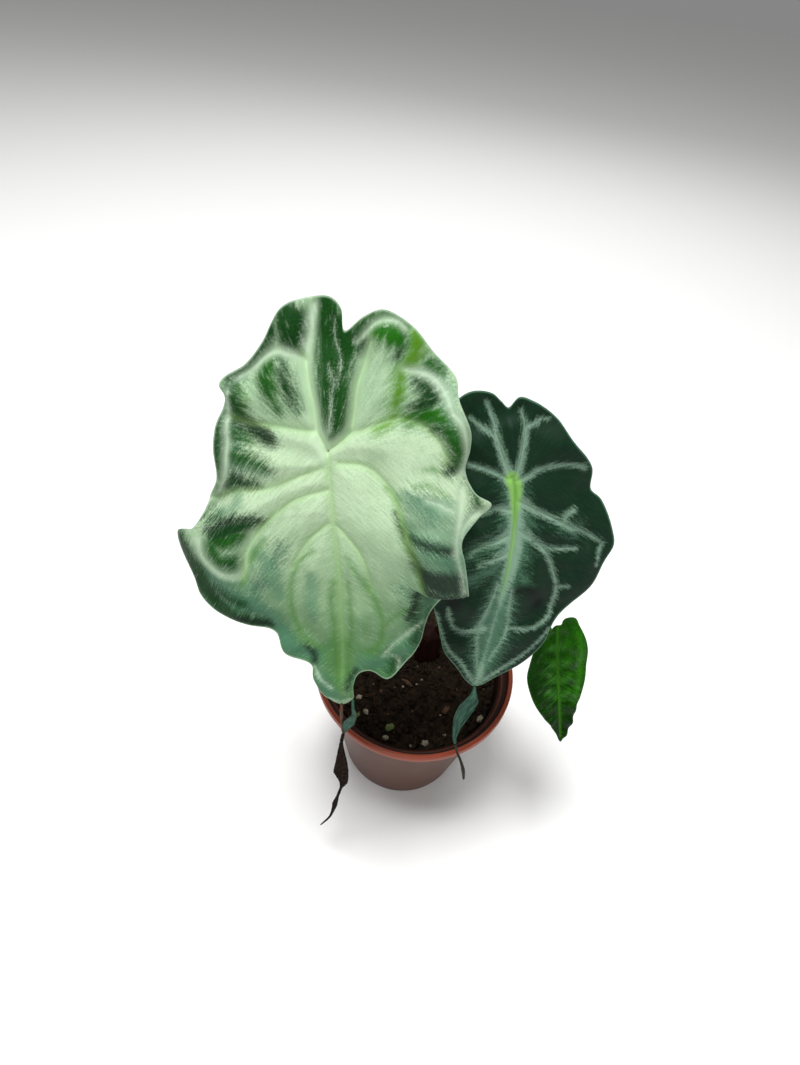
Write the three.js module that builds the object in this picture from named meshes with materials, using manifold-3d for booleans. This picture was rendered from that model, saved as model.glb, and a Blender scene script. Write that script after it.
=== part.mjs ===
// A potted alocasia with three leaves: one large and pale, one dark, one small and bright green.
// Units are millimetres, +Z is up, and the origin is the middle of the pot's underside.
// The viewer of the leaves stands towards -Y.
import * as THREE from 'three';
import { mergeVertices } from 'three/addons/utils/BufferGeometryUtils.js';
import Module from 'manifold-3d';

const wasm = await Module();
wasm.setup();

// Driving dimensions of the pot and its filling
const POT_HEIGHT = 50;
const POT_WALL = 1;
const POT_SEGMENTS = 48;
const BASE_RADIUS = 20;
const BASE_THICKNESS = 1.4;
const WALL_TOP_RADIUS = 27.2;
const LIP_RADIUS = 30;
const LIP_WIDTH = 1.5;
const LIP_DEPTH = 2.8;
const DRAIN_HOLES = 6;
const DRAIN_RADIUS = 2.2;
const DRAIN_CIRCLE = 14;
const SOIL_LEVEL = 44;
const SOIL_ROUGHNESS = 0.7;
const GAP = 0.3;

// Driving dimensions of the plant
const BLADE_THICKNESS = 0.8;
const CROWN_AT = [3.2, 7.2];
const CROWN_FOOT = 33;
const PETIOLE_FOOT = 50;
const PETIOLE_REACH = 1.15;
const SOCKET_DEPTH = 0.5;

const COLOURS = {
  pot: '#8f3f2a',
  soil: '#1d130e',
  perlite: '#d8d3c6',
  bark: '#6a4a3a',
  moss: '#5e7038',
  crown: '#3c1a15',
  petiole: '#4a241b',
  paleLeaf: '#a8cba4',
  darkLeaf: '#1f3c2d',
  brightLeaf: '#3f8f1f',
  tail: '#3f7362',
  driedTail: '#21130d',
  darkThread: '#2c3a2f',
};

// Each leaf: a junction where the petiole meets the veins, a point that the blade hangs towards,
// and the way its face looks. Outline, ribs and bumps are in the blade's own plane, with x to the
// right, y up towards the notch and 0,0 at the junction. A bump is [x, y, radius, height].
const LARGE_LEAF = {
  junction: [-25.2, -9.9, 135],
  hangsTowards: [-16.6, -37, 88],
  faces: [-0.12, -0.86, 0.5],
  centre: [-1, -12],
  rings: 9,
  perPoint: 2,
  outline: [
    [4.5, 21.7], [8.5, 24], [12, 24.9], [17, 21.9], [20.5, 17.4], [24.5, 12.6], [25, 9],
    [27.2, 3], [27, -0.5], [26, -4.7], [28, -8.7], [31, -10.8], [28.5, -13.7], [25.5, -17.7],
    [26, -22], [26.5, -27.5], [24.5, -31.5], [20.5, -34], [18, -36], [17, -38.5], [16, -42],
    [13.3, -46.2], [8.5, -51.3], [4.7, -48.9], [2.3, -49.7], [0.9, -52.6], [0.3, -56.8],
    [-2.6, -58.8], [-6.5, -55.8], [-8, -51.3], [-8.3, -47.7], [-11, -46.8], [-14.2, -45.3],
    [-16.3, -40.5], [-22.5, -38.6], [-30.5, -36], [-33.5, -32.5], [-34, -28.4], [-35.6, -22],
    [-35.3, -17], [-30.5, -15.8], [-28.6, -13], [-27.5, -9.7], [-24, -5], [-23.3, 0.5],
    [-22, 6], [-19.4, 11], [-20, 13], [-18.8, 14.6], [-15, 16.7], [-11, 20.6], [-7, 26],
    [-3, 27.6], [2.2, 27.6], [4.2, 25.5],
  ],
  bowAcross: 0.005,
  bowAlong: 0.0022,
  bowMiddle: 0,
  puff: 1.2,
  puffRadius: 3,
  bumps: [
    [19, -18, 8, 5], [-31, -18, 5, 3], [-26, -11, 4, -2.5], [-20, 13, 3, 2], [-24, -24, 7, 2],
    [2.5, 19, 5, -2], [12, 21, 5, 1.5], [22, 14, 5, -2], [24, 4, 5, 2], [27, -4, 3, -2],
    [31, -10, 3, 2], [10, -46, 6, -2], [-14, -40, 5, -2], [-22, 2, 4, 1.5], [-2, -54, 4, 1.5],
  ],
  ribs: [
    [[0, 0], [0.2, -13], [0.6, -28], [-1.5, -56]],
    [[0, 0], [-2.1, 7], [-3.2, 17.5], [-0.7, 26]],
    [[-3.2, 17], [-8.8, 18.5], [-16.5, 14]],
    [[0, 0], [5, 5], [6.5, 12.5], [9.8, 21.5], [14.5, 22.5]],
    [[-2.7, 4], [-9.6, 5], [-18.6, 7.3]],
    [[-1.5, -1.6], [-9, 0.7], [-20, 1.7]],
    [[-1, -3.8], [-13, -7], [-24, -9]],
    [[-0.8, -7.6], [-7, -9.3], [-17, -17.5], [-20, -27]],
    [[-1, -14], [-8.7, -23], [-10, -34], [-5, -43]],
    [[4.6, 3.4], [14.3, 6], [21.5, 1.3]],
    [[2, -1.6], [7.5, -2.8], [13.6, -12], [17.9, -27]],
    [[1.2, -15], [7.3, -28], [8.6, -40]],
  ],
  shelf: { from: 14, to: 20, at: -28, width: 4, drop: 6 },
};

const DARK_LEAF = {
  junction: [12.5, -2.3, 128.2],
  hangsTowards: [12, -27, 85.5],
  faces: [0.05, -0.86, 0.5],
  centre: [2, -14],
  rings: 8,
  perPoint: 2,
  outline: [
    [-3.4, 13.8], [-1.7, 16.1], [1, 15.8], [6.2, 13.3], [10.2, 9.1], [15.8, 4.1], [17, -0.6],
    [19.5, -2.4], [22.8, -8.1], [24.3, -12], [23.1, -16.2], [21.8, -21.5], [18.7, -27.2],
    [15.7, -32.5], [14.3, -38], [10.7, -43.5], [5.3, -48.2], [1.1, -51.9], [-1.3, -50.2],
    [-4, -47], [-7.8, -43], [-10, -37.1], [-11.5, -33.2], [-14, -27], [-17, -18.5],
    [-18.5, -9], [-18, 0], [-17, 8], [-14.5, 13.5], [-11.5, 16], [-7.4, 16.2], [-5.2, 14.9],
  ],
  bowAcross: 0.004,
  bowAlong: 0.002,
  bowMiddle: 1,
  puff: 0.9,
  puffRadius: 2.6,
  bumps: [
    [-3.7, 13, 4, -1.5], [17, -1, 4, -1.5], [22, -10, 5, 1.5], [13.5, 8, 5, 1.5],
    [16, -28, 5, -1.5], [19, -20, 5, 1.2], [-10, -38, 5, -1.2], [0, -48, 4, 1],
  ],
  ribs: [
    [[0, 0], [2.4, -13], [2, -30], [1, -51]],
    [[0, 0], [-4.3, 6.6], [-8, 14]],
    [[-5.5, 8], [-11, 11]],
    [[0, 0], [0.9, 5], [0.5, 10.4], [-1, 14]],
    [[0.5, 10.4], [4.3, 12.8]],
    [[-1.2, -0.6], [-9.7, 1.6], [-16, 1]],
    [[2.2, 0.3], [8.2, 3.7], [14, 4.1]],
    [[1.6, -5.3], [10.6, -8.1], [20.9, -11.4]],
    [[2.2, -12.1], [10, -14], [16, -13.6]],
    [[3, -13], [12.4, -19.4], [13.4, -29], [5.4, -33.6]],
    [[0, -7.3], [-7, -9.2], [-16, -12]],
    [[1, -13.2], [-6.5, -18], [-13, -24]],
    [[1, -34.8], [-5.3, -35.5], [-9, -30.7]],
  ],
};

const SMALL_LEAF = {
  junction: [35.9, -8.5, 74.8],
  hangsTowards: [40.3, -24, 58],
  faces: [0.25, -0.75, 0.6],
  centre: [0, -5],
  rings: 6,
  perPoint: 2,
  outline: [
    [-0.3, 8.2], [1.5, 8.3], [3.6, 9.7], [6.5, 9.2], [7.4, 7], [8.9, 3], [9.4, -1], [8.8, -4.5],
    [6.6, -11.2], [5.1, -14.5], [3.7, -19], [0.7, -24], [-0.6, -21.8], [-2.6, -18.8],
    [-5.3, -15.2], [-7.5, -11], [-8.4, -6.5], [-7.7, -0.8], [-6.4, 2.2], [-3.5, 5.5],
  ],
  bowAcross: 0.012,
  bowAlong: 0.004,
  bowMiddle: 0,
  puff: 0.5,
  puffRadius: 1.8,
  bumps: [[5, 8, 3, -1], [8, -3, 3, -1], [-8, -5, 3, -1]],
  ribs: [[[0, 0], [-0.3, -8], [0.5, -23]], [[0, 0], [5, 8]], [[0, 0], [-5, 2]]],
};

// Petiole routes from the crown up to just behind each junction, [x, y, z]
const PETIOLES = [
  {
    name: 'large_leaf_petiole',
    leaf: LARGE_LEAF,
    route: [[1.6, 7.4, PETIOLE_FOOT], [-4, 10.5, 78], [-14, 8, 106], [-21.5, 0, 126.5]],
    radii: [1.4, 1.1],
  },
  {
    name: 'dark_leaf_petiole',
    leaf: DARK_LEAF,
    route: [[4.9, 6.4, PETIOLE_FOOT], [8.5, 9.5, 76], [11.5, 9.5, 102], [12.4, 4.5, 120.5]],
    radii: [1.3, 1],
  },
  {
    name: 'small_leaf_petiole',
    leaf: SMALL_LEAF,
    route: [[4.4, 9.2, PETIOLE_FOOT], [8.5, 12, 62], [18, 12, 78], [27, 7, 83], [32.5, 0.5, 78.5]],
    radii: [0.8, 0.6],
  },
];

// Tails that hang from the two drip tips. A station is [x, y, z, half width, half thickness].
const LARGE_TAIL_STALK = [
  [-17.7, -33.9, 80.5, 0.4, 0.4], [-17.5, -34.1, 75.5, 0.35, 0.35], [-16.9, -34.6, 70, 0.45, 0.4],
];
const LARGE_TAIL_LEAFLET = [
  [-15.1, -34.4, 82.4, 0.4, 0.35], [-14.7, -34.3, 79, 0.6, 0.35], [-15.7, -34.4, 75.4, 1.35, 0.4],
  [-16.6, -34.5, 72, 0.8, 0.4], [-16.9, -34.6, 70, 0.45, 0.4],
];
const DRIED_TAIL = [
  [-16.95, -34.7, 69.1, 0.6, 0.5], [-17.3, -35, 65.5, 0.4, 0.4], [-17.3, -35.2, 61, 0.9, 0.4],
  [-17.1, -35.7, 55.5, 1.6, 0.45], [-17, -36, 51.3, 2, 0.45], [-16.4, -36.2, 47.5, 1.5, 0.5],
  [-16.2, -36.3, 44.5, 1.1, 0.5], [-16.7, -36.5, 41, 0.4, 0.4], [-17.5, -36.8, 35.5, 0.4, 0.4],
  [-18.2, -37.1, 30, 0.8, 0.4], [-18.7, -37.3, 25.5, 0.5, 0.4], [-19.6, -37.6, 20.5, 0.35, 0.35],
  [-22.4, -38, 13.2, 0.3, 0.3],
];
const DARK_TAIL_LEAFLET = [
  [12.8, -25.1, 80.7, 0.5, 0.4], [12.7, -26, 78.3, 1.8, 0.4], [11.7, -27, 75.8, 2.2, 0.45],
  [10.8, -28.2, 72.5, 1.7, 0.45], [10.4, -29.4, 68.7, 0.9, 0.4], [10.4, -30.2, 66, 0.5, 0.35],
  [10.9, -30.9, 63.7, 0.4, 0.35],
];
const DARK_TAIL_THREAD = [
  [11.1, -31.1, 62.8, 0.4, 0.35], [12, -31.5, 60.3, 0.4, 0.35], [13.4, -32, 57, 0.45, 0.35],
  [14.9, -32.3, 52, 0.5, 0.35], [15.9, -32.5, 46.7, 0.3, 0.3],
];

// Grains that lie in the soil's surface: [name, x, y, length, width, height, turn in degrees]
const GRAINS = [
  ['perlite_1', 5.1, -22.4, 2.4, 1.8, 1.8, 20, COLOURS.perlite],
  ['perlite_2', 20.6, -13.6, 2.6, 1.8, 2, 70, COLOURS.perlite],
  ['perlite_3', -12.8, -15.3, 2, 1.6, 1.4, 110, COLOURS.perlite],
  ['perlite_4', -6.2, -22.6, 2, 1.5, 1.6, 0, COLOURS.perlite],
  ['perlite_5', -15.6, -10.9, 2.6, 1.8, 1.4, 40, COLOURS.perlite],
  ['perlite_6', -9, 15, 2.6, 2.2, 1.8, 15, COLOURS.perlite],
  ['perlite_7', 14, 17, 2.2, 1.8, 1.6, 80, COLOURS.perlite],
  ['bark_chip_1', 10.7, -11.7, 3.4, 2, 1.4, 60, COLOURS.bark],
  ['bark_chip_2', -1.6, -4.4, 4.2, 1.3, 1.3, -35, COLOURS.bark],
  ['bark_chip_3', 18.5, 5, 3.6, 2.2, 1.4, 10, COLOURS.bark],
  ['moss_bit_1', -5.4, -19.4, 3, 2.2, 1.6, 30, COLOURS.moss],
  ['moss_bit_2', -15.5, -16.5, 2.8, 2, 1.6, 75, COLOURS.moss],
];

function vec([x, y, z]) {
  return new THREE.Vector3(x, y, z);
}

// Welds a geometry by position alone, so that the solid it bounds is closed.
function welded(geometry) {
  const bare = geometry.clone();
  for (const name of ['normal', 'uv']) bare.deleteAttribute(name);
  return mergeVertices(bare, 1e-4);
}

function toManifold(geometry) {
  const shape = welded(geometry);
  return new wasm.Manifold(new wasm.Mesh({
    numProp: 3,
    vertProperties: Float32Array.from(shape.attributes.position.array),
    triVerts: Uint32Array.from(shape.index.array),
  }));
}

function fromManifold(solid) {
  const mesh = solid.getMesh();
  const geometry = new THREE.BufferGeometry();
  geometry.setAttribute('position', new THREE.BufferAttribute(mesh.vertProperties, 3));
  geometry.setIndex(new THREE.BufferAttribute(mesh.triVerts, 1));
  geometry.computeVertexNormals();
  return geometry;
}

function cut(geometry, tools) {
  const solid = tools.reduce((rest, tool) => rest.subtract(toManifold(tool)), toManifold(geometry));
  return fromManifold(solid);
}

function node(name, geometry, colour, roughness = 0.6) {
  const material = new THREE.MeshStandardMaterial({ color: colour, roughness, metalness: 0 });
  material.name = name;
  const mesh = new THREE.Mesh(geometry, material);
  mesh.name = name;
  return mesh;
}

// A lathe body standing on the Z axis, from [radius, z] pairs.
function turned(profile, segments) {
  const points = profile.map(([radius, z]) => new THREE.Vector2(radius, z));
  return new THREE.LatheGeometry(points, segments).rotateX(Math.PI / 2);
}

// The blade's own axes in the world: x right, y up the midrib, z out of its face.
function bladeAxes(leaf) {
  const y = vec(leaf.junction).sub(vec(leaf.hangsTowards)).normalize();
  const face = vec(leaf.faces);
  const z = face.addScaledVector(y, -face.dot(y)).normalize();
  const x = new THREE.Vector3().crossVectors(y, z);
  return { x, y, z };
}

function distanceToRun(x, y, run) {
  let nearest = Infinity;
  for (let i = 1; i < run.length; i += 1) {
    const [ax, ay] = run[i - 1];
    const [bx, by] = run[i];
    const [dx, dy] = [bx - ax, by - ay];
    const along = ((x - ax) * dx + (y - ay) * dy) / (dx * dx + dy * dy);
    const t = THREE.MathUtils.clamp(along, 0, 1);
    nearest = Math.min(nearest, Math.hypot(x - ax - t * dx, y - ay - t * dy));
  }
  return nearest;
}

// How far the blade's middle surface stands out of its plane: bowed back at the sides and the
// tip, lifted and sunk where its margin waves, and puffed up between its sunken ribs.
function bladeHeight(leaf, x, y) {
  let height = -leaf.bowAcross * (x - leaf.bowMiddle) ** 2 - leaf.bowAlong * y * y;
  for (const [bx, by, radius, rise] of leaf.bumps) {
    height += rise * Math.exp(-((x - bx) ** 2 + (y - by) ** 2) / radius ** 2);
  }
  const toRib = Math.min(...leaf.ribs.map((run) => distanceToRun(x, y, run)));
  height += leaf.puff * (1 - Math.exp(-((toRib / leaf.puffRadius) ** 2)));
  if (leaf.shelf) {
    const { from, to, at, width, drop } = leaf.shelf;
    const side = THREE.MathUtils.smoothstep(x, from, to);
    height -= drop * side * THREE.MathUtils.smoothstep(-y, -at, -at + width);
  }
  return height;
}

function bladeNormal(leaf, x, y) {
  const step = 0.05;
  const slopeX = (bladeHeight(leaf, x + step, y) - bladeHeight(leaf, x - step, y)) / (2 * step);
  const slopeY = (bladeHeight(leaf, x, y + step) - bladeHeight(leaf, x, y - step)) / (2 * step);
  return new THREE.Vector3(-slopeX, -slopeY, 1).normalize();
}

// A thin closed blade. Both faces share one grid of rings round the centre, split alike.
function bladeGeometry(leaf) {
  const corners = leaf.outline.map(([x, y]) => new THREE.Vector3(x, y, 0));
  const margin = new THREE.CatmullRomCurve3(corners, true, 'centripetal');
  const around = leaf.outline.length * leaf.perPoint;
  const [cx, cy] = leaf.centre;
  const spots = [[cx, cy]];
  for (let ring = 1; ring <= leaf.rings; ring += 1) {
    const share = ring / leaf.rings;
    for (let j = 0; j < around; j += 1) {
      const edge = margin.getPoint(j / around);
      spots.push([cx + (edge.x - cx) * share, cy + (edge.y - cy) * share]);
    }
  }
  const positions = [];
  for (const side of [0.5, -0.5]) {
    for (const [x, y] of spots) {
      const offset = bladeNormal(leaf, x, y).multiplyScalar(side * BLADE_THICKNESS);
      positions.push(x + offset.x, y + offset.y, bladeHeight(leaf, x, y) + offset.z);
    }
  }
  const back = spots.length;
  const at = (ring, j) => 1 + (ring - 1) * around + (j % around);
  const index = [];
  const bothFaces = (a, b, c) => index.push(a, c, b, back + a, back + b, back + c);
  for (let j = 0; j < around; j += 1) {
    bothFaces(0, at(1, j), at(1, j + 1));
    for (let ring = 1; ring < leaf.rings; ring += 1) {
      bothFaces(at(ring, j), at(ring + 1, j), at(ring + 1, j + 1));
      bothFaces(at(ring, j), at(ring + 1, j + 1), at(ring, j + 1));
    }
    const [p, q] = [at(leaf.rings, j), at(leaf.rings, j + 1)];
    index.push(p, q, back + q, p, back + q, back + p);
  }
  const geometry = new THREE.BufferGeometry();
  geometry.setAttribute('position', new THREE.Float32BufferAttribute(positions, 3));
  geometry.setIndex(index);
  geometry.computeVertexNormals();
  return geometry;
}

function bladeMesh(name, leaf, colour) {
  const mesh = node(name, bladeGeometry(leaf), colour, 0.5);
  const { x, y, z } = bladeAxes(leaf);
  mesh.position.set(...leaf.junction);
  mesh.quaternion.setFromRotationMatrix(new THREE.Matrix4().makeBasis(x, y, z));
  return mesh;
}

// A closed body swept through elliptical stations. The stations' flat side looks along `faces`.
function swept(stations, faces, steps, sides) {
  const curve = new THREE.CatmullRomCurve3(stations.map(vec), false, 'centripetal');
  const last = stations.length - 1;
  const sizeAt = (t, which) => {
    const i = Math.min(Math.floor(t * last), last - 1);
    return THREE.MathUtils.lerp(stations[i][which], stations[i + 1][which], t * last - i);
  };
  const positions = [];
  const pushPoint = (point) => positions.push(point.x, point.y, point.z);
  for (let i = 0; i <= steps; i += 1) {
    const t = i / steps;
    const middle = curve.getPoint(t);
    const wide = new THREE.Vector3().crossVectors(faces, curve.getTangent(t)).normalize();
    const thick = new THREE.Vector3().crossVectors(curve.getTangent(t), wide);
    for (let j = 0; j < sides; j += 1) {
      const angle = (2 * Math.PI * j) / sides;
      pushPoint(middle.clone()
        .addScaledVector(wide, sizeAt(t, 3) * Math.cos(angle))
        .addScaledVector(thick, sizeAt(t, 4) * Math.sin(angle)));
    }
  }
  pushPoint(curve.getPoint(0));
  pushPoint(curve.getPoint(1));
  const index = [];
  const at = (i, j) => i * sides + (j % sides);
  const [start, end] = [(steps + 1) * sides, (steps + 1) * sides + 1];
  for (let j = 0; j < sides; j += 1) {
    for (let i = 0; i < steps; i += 1) {
      index.push(at(i, j), at(i, j + 1), at(i + 1, j + 1), at(i, j), at(i + 1, j + 1), at(i + 1, j));
    }
    index.push(start, at(0, j + 1), at(0, j), end, at(steps, j), at(steps, j + 1));
  }
  const geometry = new THREE.BufferGeometry();
  geometry.setAttribute('position', new THREE.Float32BufferAttribute(positions, 3));
  geometry.setIndex(index);
  geometry.computeVertexNormals();
  return geometry;
}

function petioleGeometry({ leaf, route, radii }, extra = 0) {
  const [footRadius, topRadius] = radii;
  const end = vec(leaf.junction).addScaledVector(bladeAxes(leaf).z, -PETIOLE_REACH);
  const points = [...route, end.toArray()];
  const stations = points.map((point, i) => {
    const radius = THREE.MathUtils.lerp(footRadius, topRadius, i / (points.length - 1)) + extra;
    return [...point, radius, radius];
  });
  if (extra > 0) stations[0][2] -= SOCKET_DEPTH;
  return swept(stations, new THREE.Vector3(1, 0, 0), 16, 10);
}

const TAIL_FACES = new THREE.Vector3(0, -1, 0);

function tailGeometry(stations) {
  return swept(stations, TAIL_FACES, (stations.length - 1) * 2, 8);
}

function potGeometry() {
  const lipUnder = POT_HEIGHT - LIP_DEPTH;
  const inner = WALL_TOP_RADIUS - POT_WALL;
  const body = turned([
    [0, 0],
    [BASE_RADIUS - 0.6, 0],
    [BASE_RADIUS, 0.6],
    [WALL_TOP_RADIUS, lipUnder],
    [LIP_RADIUS - 0.5, lipUnder - 0.2],
    [LIP_RADIUS, lipUnder + 0.3],
    [LIP_RADIUS, POT_HEIGHT - 0.5],
    [LIP_RADIUS - 0.5, POT_HEIGHT],
    [LIP_RADIUS - LIP_WIDTH + 0.4, POT_HEIGHT],
    [LIP_RADIUS - LIP_WIDTH, POT_HEIGHT - 0.4],
    [LIP_RADIUS - LIP_WIDTH - 0.3, lipUnder + 0.6],
    [inner, lipUnder - 1],
    [BASE_RADIUS - POT_WALL, BASE_THICKNESS],
    [0, BASE_THICKNESS],
  ], POT_SEGMENTS);
  const drill = new THREE.CylinderGeometry(DRAIN_RADIUS, DRAIN_RADIUS, 4 * BASE_THICKNESS, 16);
  drill.rotateX(Math.PI / 2);
  const holes = [];
  for (let i = 0; i < DRAIN_HOLES; i += 1) {
    const angle = (2 * Math.PI * i) / DRAIN_HOLES;
    const [x, y] = [DRAIN_CIRCLE * Math.cos(angle), DRAIN_CIRCLE * Math.sin(angle)];
    holes.push(drill.clone().translate(x, y, 0));
  }
  return cut(body, holes);
}

// Height of the soil over its level: small clods, a mound at the crown, a dip at the wall.
function soilRise(x, y) {
  const clods = Math.sin(0.9 * x + 1.3) * Math.cos(0.8 * y - 0.4) + 0.6 * Math.sin(0.7 * x - 0.9 * y)
    + 0.4 * Math.sin(1.5 * x + 0.8 * y);
  const mound = 1.6 * Math.exp(-((x - CROWN_AT[0]) ** 2 + (y - CROWN_AT[1]) ** 2) / 90);
  return SOIL_ROUGHNESS * clods + mound;
}

function soilGeometry(tools) {
  const top = WALL_TOP_RADIUS - POT_WALL - GAP - 0.5;
  const bottom = BASE_RADIUS - POT_WALL - GAP;
  const rings = [23, 20.5, 18, 15.5, 13, 10.5, 8, 5.5, 3];
  const profile = [
    [0, BASE_THICKNESS + GAP],
    [bottom, BASE_THICKNESS + GAP],
    [top, SOIL_LEVEL - 0.6],
    ...rings.map((radius) => [radius, SOIL_LEVEL]),
    [0, SOIL_LEVEL],
  ];
  const body = welded(turned(profile, POT_SEGMENTS));
  const spots = body.attributes.position;
  for (let i = 0; i < spots.count; i += 1) {
    const isTop = spots.getZ(i) > SOIL_LEVEL - 0.1;
    if (isTop) spots.setZ(i, SOIL_LEVEL + soilRise(spots.getX(i), spots.getY(i)));
  }
  return cut(body, tools);
}

// The crown is a short stem wrapped in leaf bases; `extra` gives the hole it stands in.
function crownBody(extra = 0) {
  const foot = CROWN_FOOT - extra;
  const profile = [[0, foot], [3.2, foot], [4.2, 39], [4.2, 46], [3.9, 52], [3.3, 56], [2, 57.6], [0, 58]];
  const widened = profile.map(([radius, z]) => [radius > 0 ? radius + extra : 0, z]);
  return turned(widened, 20).translate(CROWN_AT[0], CROWN_AT[1], 0);
}

// An uneven little lump. `extra` swells it into the pit that it lies in.
function grainGeometry([, x, y, length, width, height, turn], index, extra = 0) {
  const lump = new THREE.IcosahedronGeometry(1, 1);
  const spots = lump.attributes.position;
  const point = new THREE.Vector3();
  for (let i = 0; i < spots.count; i += 1) {
    point.fromBufferAttribute(spots, i);
    const uneven = 1 + 0.16 * Math.sin(5 * point.x + 3 * index) * Math.cos(4 * point.y + index);
    point.multiplyScalar(uneven);
    spots.setXYZ(i, point.x, point.y, point.z);
  }
  lump.scale(length / 2 + extra, width / 2 + extra, height / 2 + extra);
  lump.rotateZ(THREE.MathUtils.degToRad(turn));
  const lift = SOIL_LEVEL + soilRise(x, y) + 0.2 * height;
  return lump.translate(x, y, lift);
}

const potted = new THREE.Group();
potted.name = 'potted_alocasia';

potted.add(node('pot', potGeometry(), COLOURS.pot, 0.45));

const pits = GRAINS.map((grain, i) => grainGeometry(grain, i, GAP));
potted.add(node('soil', soilGeometry([crownBody(GAP), ...pits]), COLOURS.soil, 0.95));
GRAINS.forEach((grain, i) => {
  potted.add(node(grain[0], grainGeometry(grain, i), grain[7], 0.85));
});

const sockets = PETIOLES.map((petiole) => petioleGeometry(petiole, GAP));
potted.add(node('crown', cut(crownBody(), sockets), COLOURS.crown, 0.6));
for (const petiole of PETIOLES) {
  potted.add(node(petiole.name, petioleGeometry(petiole), COLOURS.petiole, 0.5));
}

potted.add(bladeMesh('large_leaf_blade', LARGE_LEAF, COLOURS.paleLeaf));
potted.add(bladeMesh('dark_leaf_blade', DARK_LEAF, COLOURS.darkLeaf));
potted.add(bladeMesh('small_leaf_blade', SMALL_LEAF, COLOURS.brightLeaf));

const largeTail = toManifold(tailGeometry(LARGE_TAIL_STALK)).add(toManifold(tailGeometry(LARGE_TAIL_LEAFLET)));
potted.add(node('large_leaf_tail', fromManifold(largeTail), COLOURS.tail, 0.5));
potted.add(node('large_leaf_dried_tail', tailGeometry(DRIED_TAIL), COLOURS.driedTail, 0.8));
potted.add(node('dark_leaf_tail', tailGeometry(DARK_TAIL_LEAFLET), COLOURS.tail, 0.5));
potted.add(node('dark_leaf_thread', tailGeometry(DARK_TAIL_THREAD), COLOURS.darkThread, 0.7));

export default potted;
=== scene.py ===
"""A small potted alocasia: a pale ruffled leaf, a dark veined leaf and a small bright leaf.

Sizes in the classes are millimetres; meshes are in metres. The origin is the middle of the
pot's underside, +Z is up and the leaves face -Y.
"""
import logging
import math
import random
from dataclasses import dataclass, field
from enum import Enum
from typing import Any, Sequence

import bpy
import numpy as np
from mathutils import Matrix, Vector, noise


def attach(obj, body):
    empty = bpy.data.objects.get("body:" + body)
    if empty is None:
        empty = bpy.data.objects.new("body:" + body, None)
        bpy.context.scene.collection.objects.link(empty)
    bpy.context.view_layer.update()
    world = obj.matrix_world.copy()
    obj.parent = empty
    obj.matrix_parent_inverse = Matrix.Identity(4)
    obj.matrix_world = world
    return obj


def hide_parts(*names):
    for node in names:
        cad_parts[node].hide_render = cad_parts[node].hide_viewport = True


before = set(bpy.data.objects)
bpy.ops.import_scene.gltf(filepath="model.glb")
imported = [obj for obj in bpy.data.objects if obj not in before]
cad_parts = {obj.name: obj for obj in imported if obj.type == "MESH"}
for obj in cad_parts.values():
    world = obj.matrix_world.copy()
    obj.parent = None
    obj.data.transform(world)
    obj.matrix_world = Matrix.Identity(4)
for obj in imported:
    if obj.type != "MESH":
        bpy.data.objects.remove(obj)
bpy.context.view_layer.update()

LOG = logging.getLogger("potted_alocasia")
MM = 0.001
PHOTO_LONG_SIDE = 1065

Stations = Sequence[Sequence[float]]
Triple = tuple[float, float, float]


# Helpers for meshes


def deselect_all() -> None:
    """Leaves object mode with nothing selected."""
    if bpy.context.object and bpy.context.object.mode != "OBJECT":
        bpy.ops.object.mode_set(mode="OBJECT")
    bpy.ops.object.select_all(action="DESELECT")


def make_active(piece: bpy.types.Object) -> None:
    """Selects one piece alone and makes it the active object."""
    deselect_all()
    piece.select_set(True)
    bpy.context.view_layer.objects.active = piece


def apply_modifier(piece: bpy.types.Object, kind: str, **settings: Any) -> None:
    """Adds one modifier to a piece and applies it.

    Args:
        piece: the object that is changed.
        kind: Blender's name of the modifier.
        settings: values of the modifier's properties.
    """
    make_active(piece)
    modifier = piece.modifiers.new(kind.title(), kind)
    for key, value in settings.items():
        setattr(modifier, key, value)
    bpy.ops.object.modifier_apply(modifier=modifier.name)


def get_points(piece: bpy.types.Object) -> np.ndarray:
    """Returns the piece's vertices as rows of x, y, z in metres."""
    flat = np.zeros(len(piece.data.vertices) * 3)
    piece.data.vertices.foreach_get("co", flat)
    return flat.reshape(-1, 3)


def set_points(piece: bpy.types.Object, points: np.ndarray) -> None:
    """Moves the piece's vertices to rows of x, y, z in metres."""
    piece.data.vertices.foreach_set("co", np.ascontiguousarray(points, float).ravel())
    piece.data.update()


def rolled_grid(name: str, across: int, along: int) -> tuple[bpy.types.Object, np.ndarray, np.ndarray]:
    """Adds a flat grid that a caller then rolls up into a tube or round into a blade.

    Args:
        name: the piece's name.
        across: faces in the first direction.
        along: faces in the second direction.

    Returns:
        The piece and each vertex's share, 0 to 1, in both directions.
    """
    deselect_all()
    bpy.ops.mesh.primitive_grid_add(x_subdivisions=across, y_subdivisions=along, size=2)
    piece = bpy.context.object
    piece.name = piece.data.name = name
    points = get_points(piece)
    return piece, (points[:, 0] + 1) / 2, (points[:, 1] + 1) / 2


def close_seams(piece: bpy.types.Object) -> None:
    """Merges the doubled vertices of a rolled grid and turns its faces outwards."""
    make_active(piece)
    bpy.ops.object.mode_set(mode="EDIT")
    bpy.ops.mesh.select_all(action="SELECT")
    bpy.ops.mesh.remove_doubles(threshold=1e-7)
    bpy.ops.mesh.normals_make_consistent(inside=False)
    bpy.ops.object.mode_set(mode="OBJECT")


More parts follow.
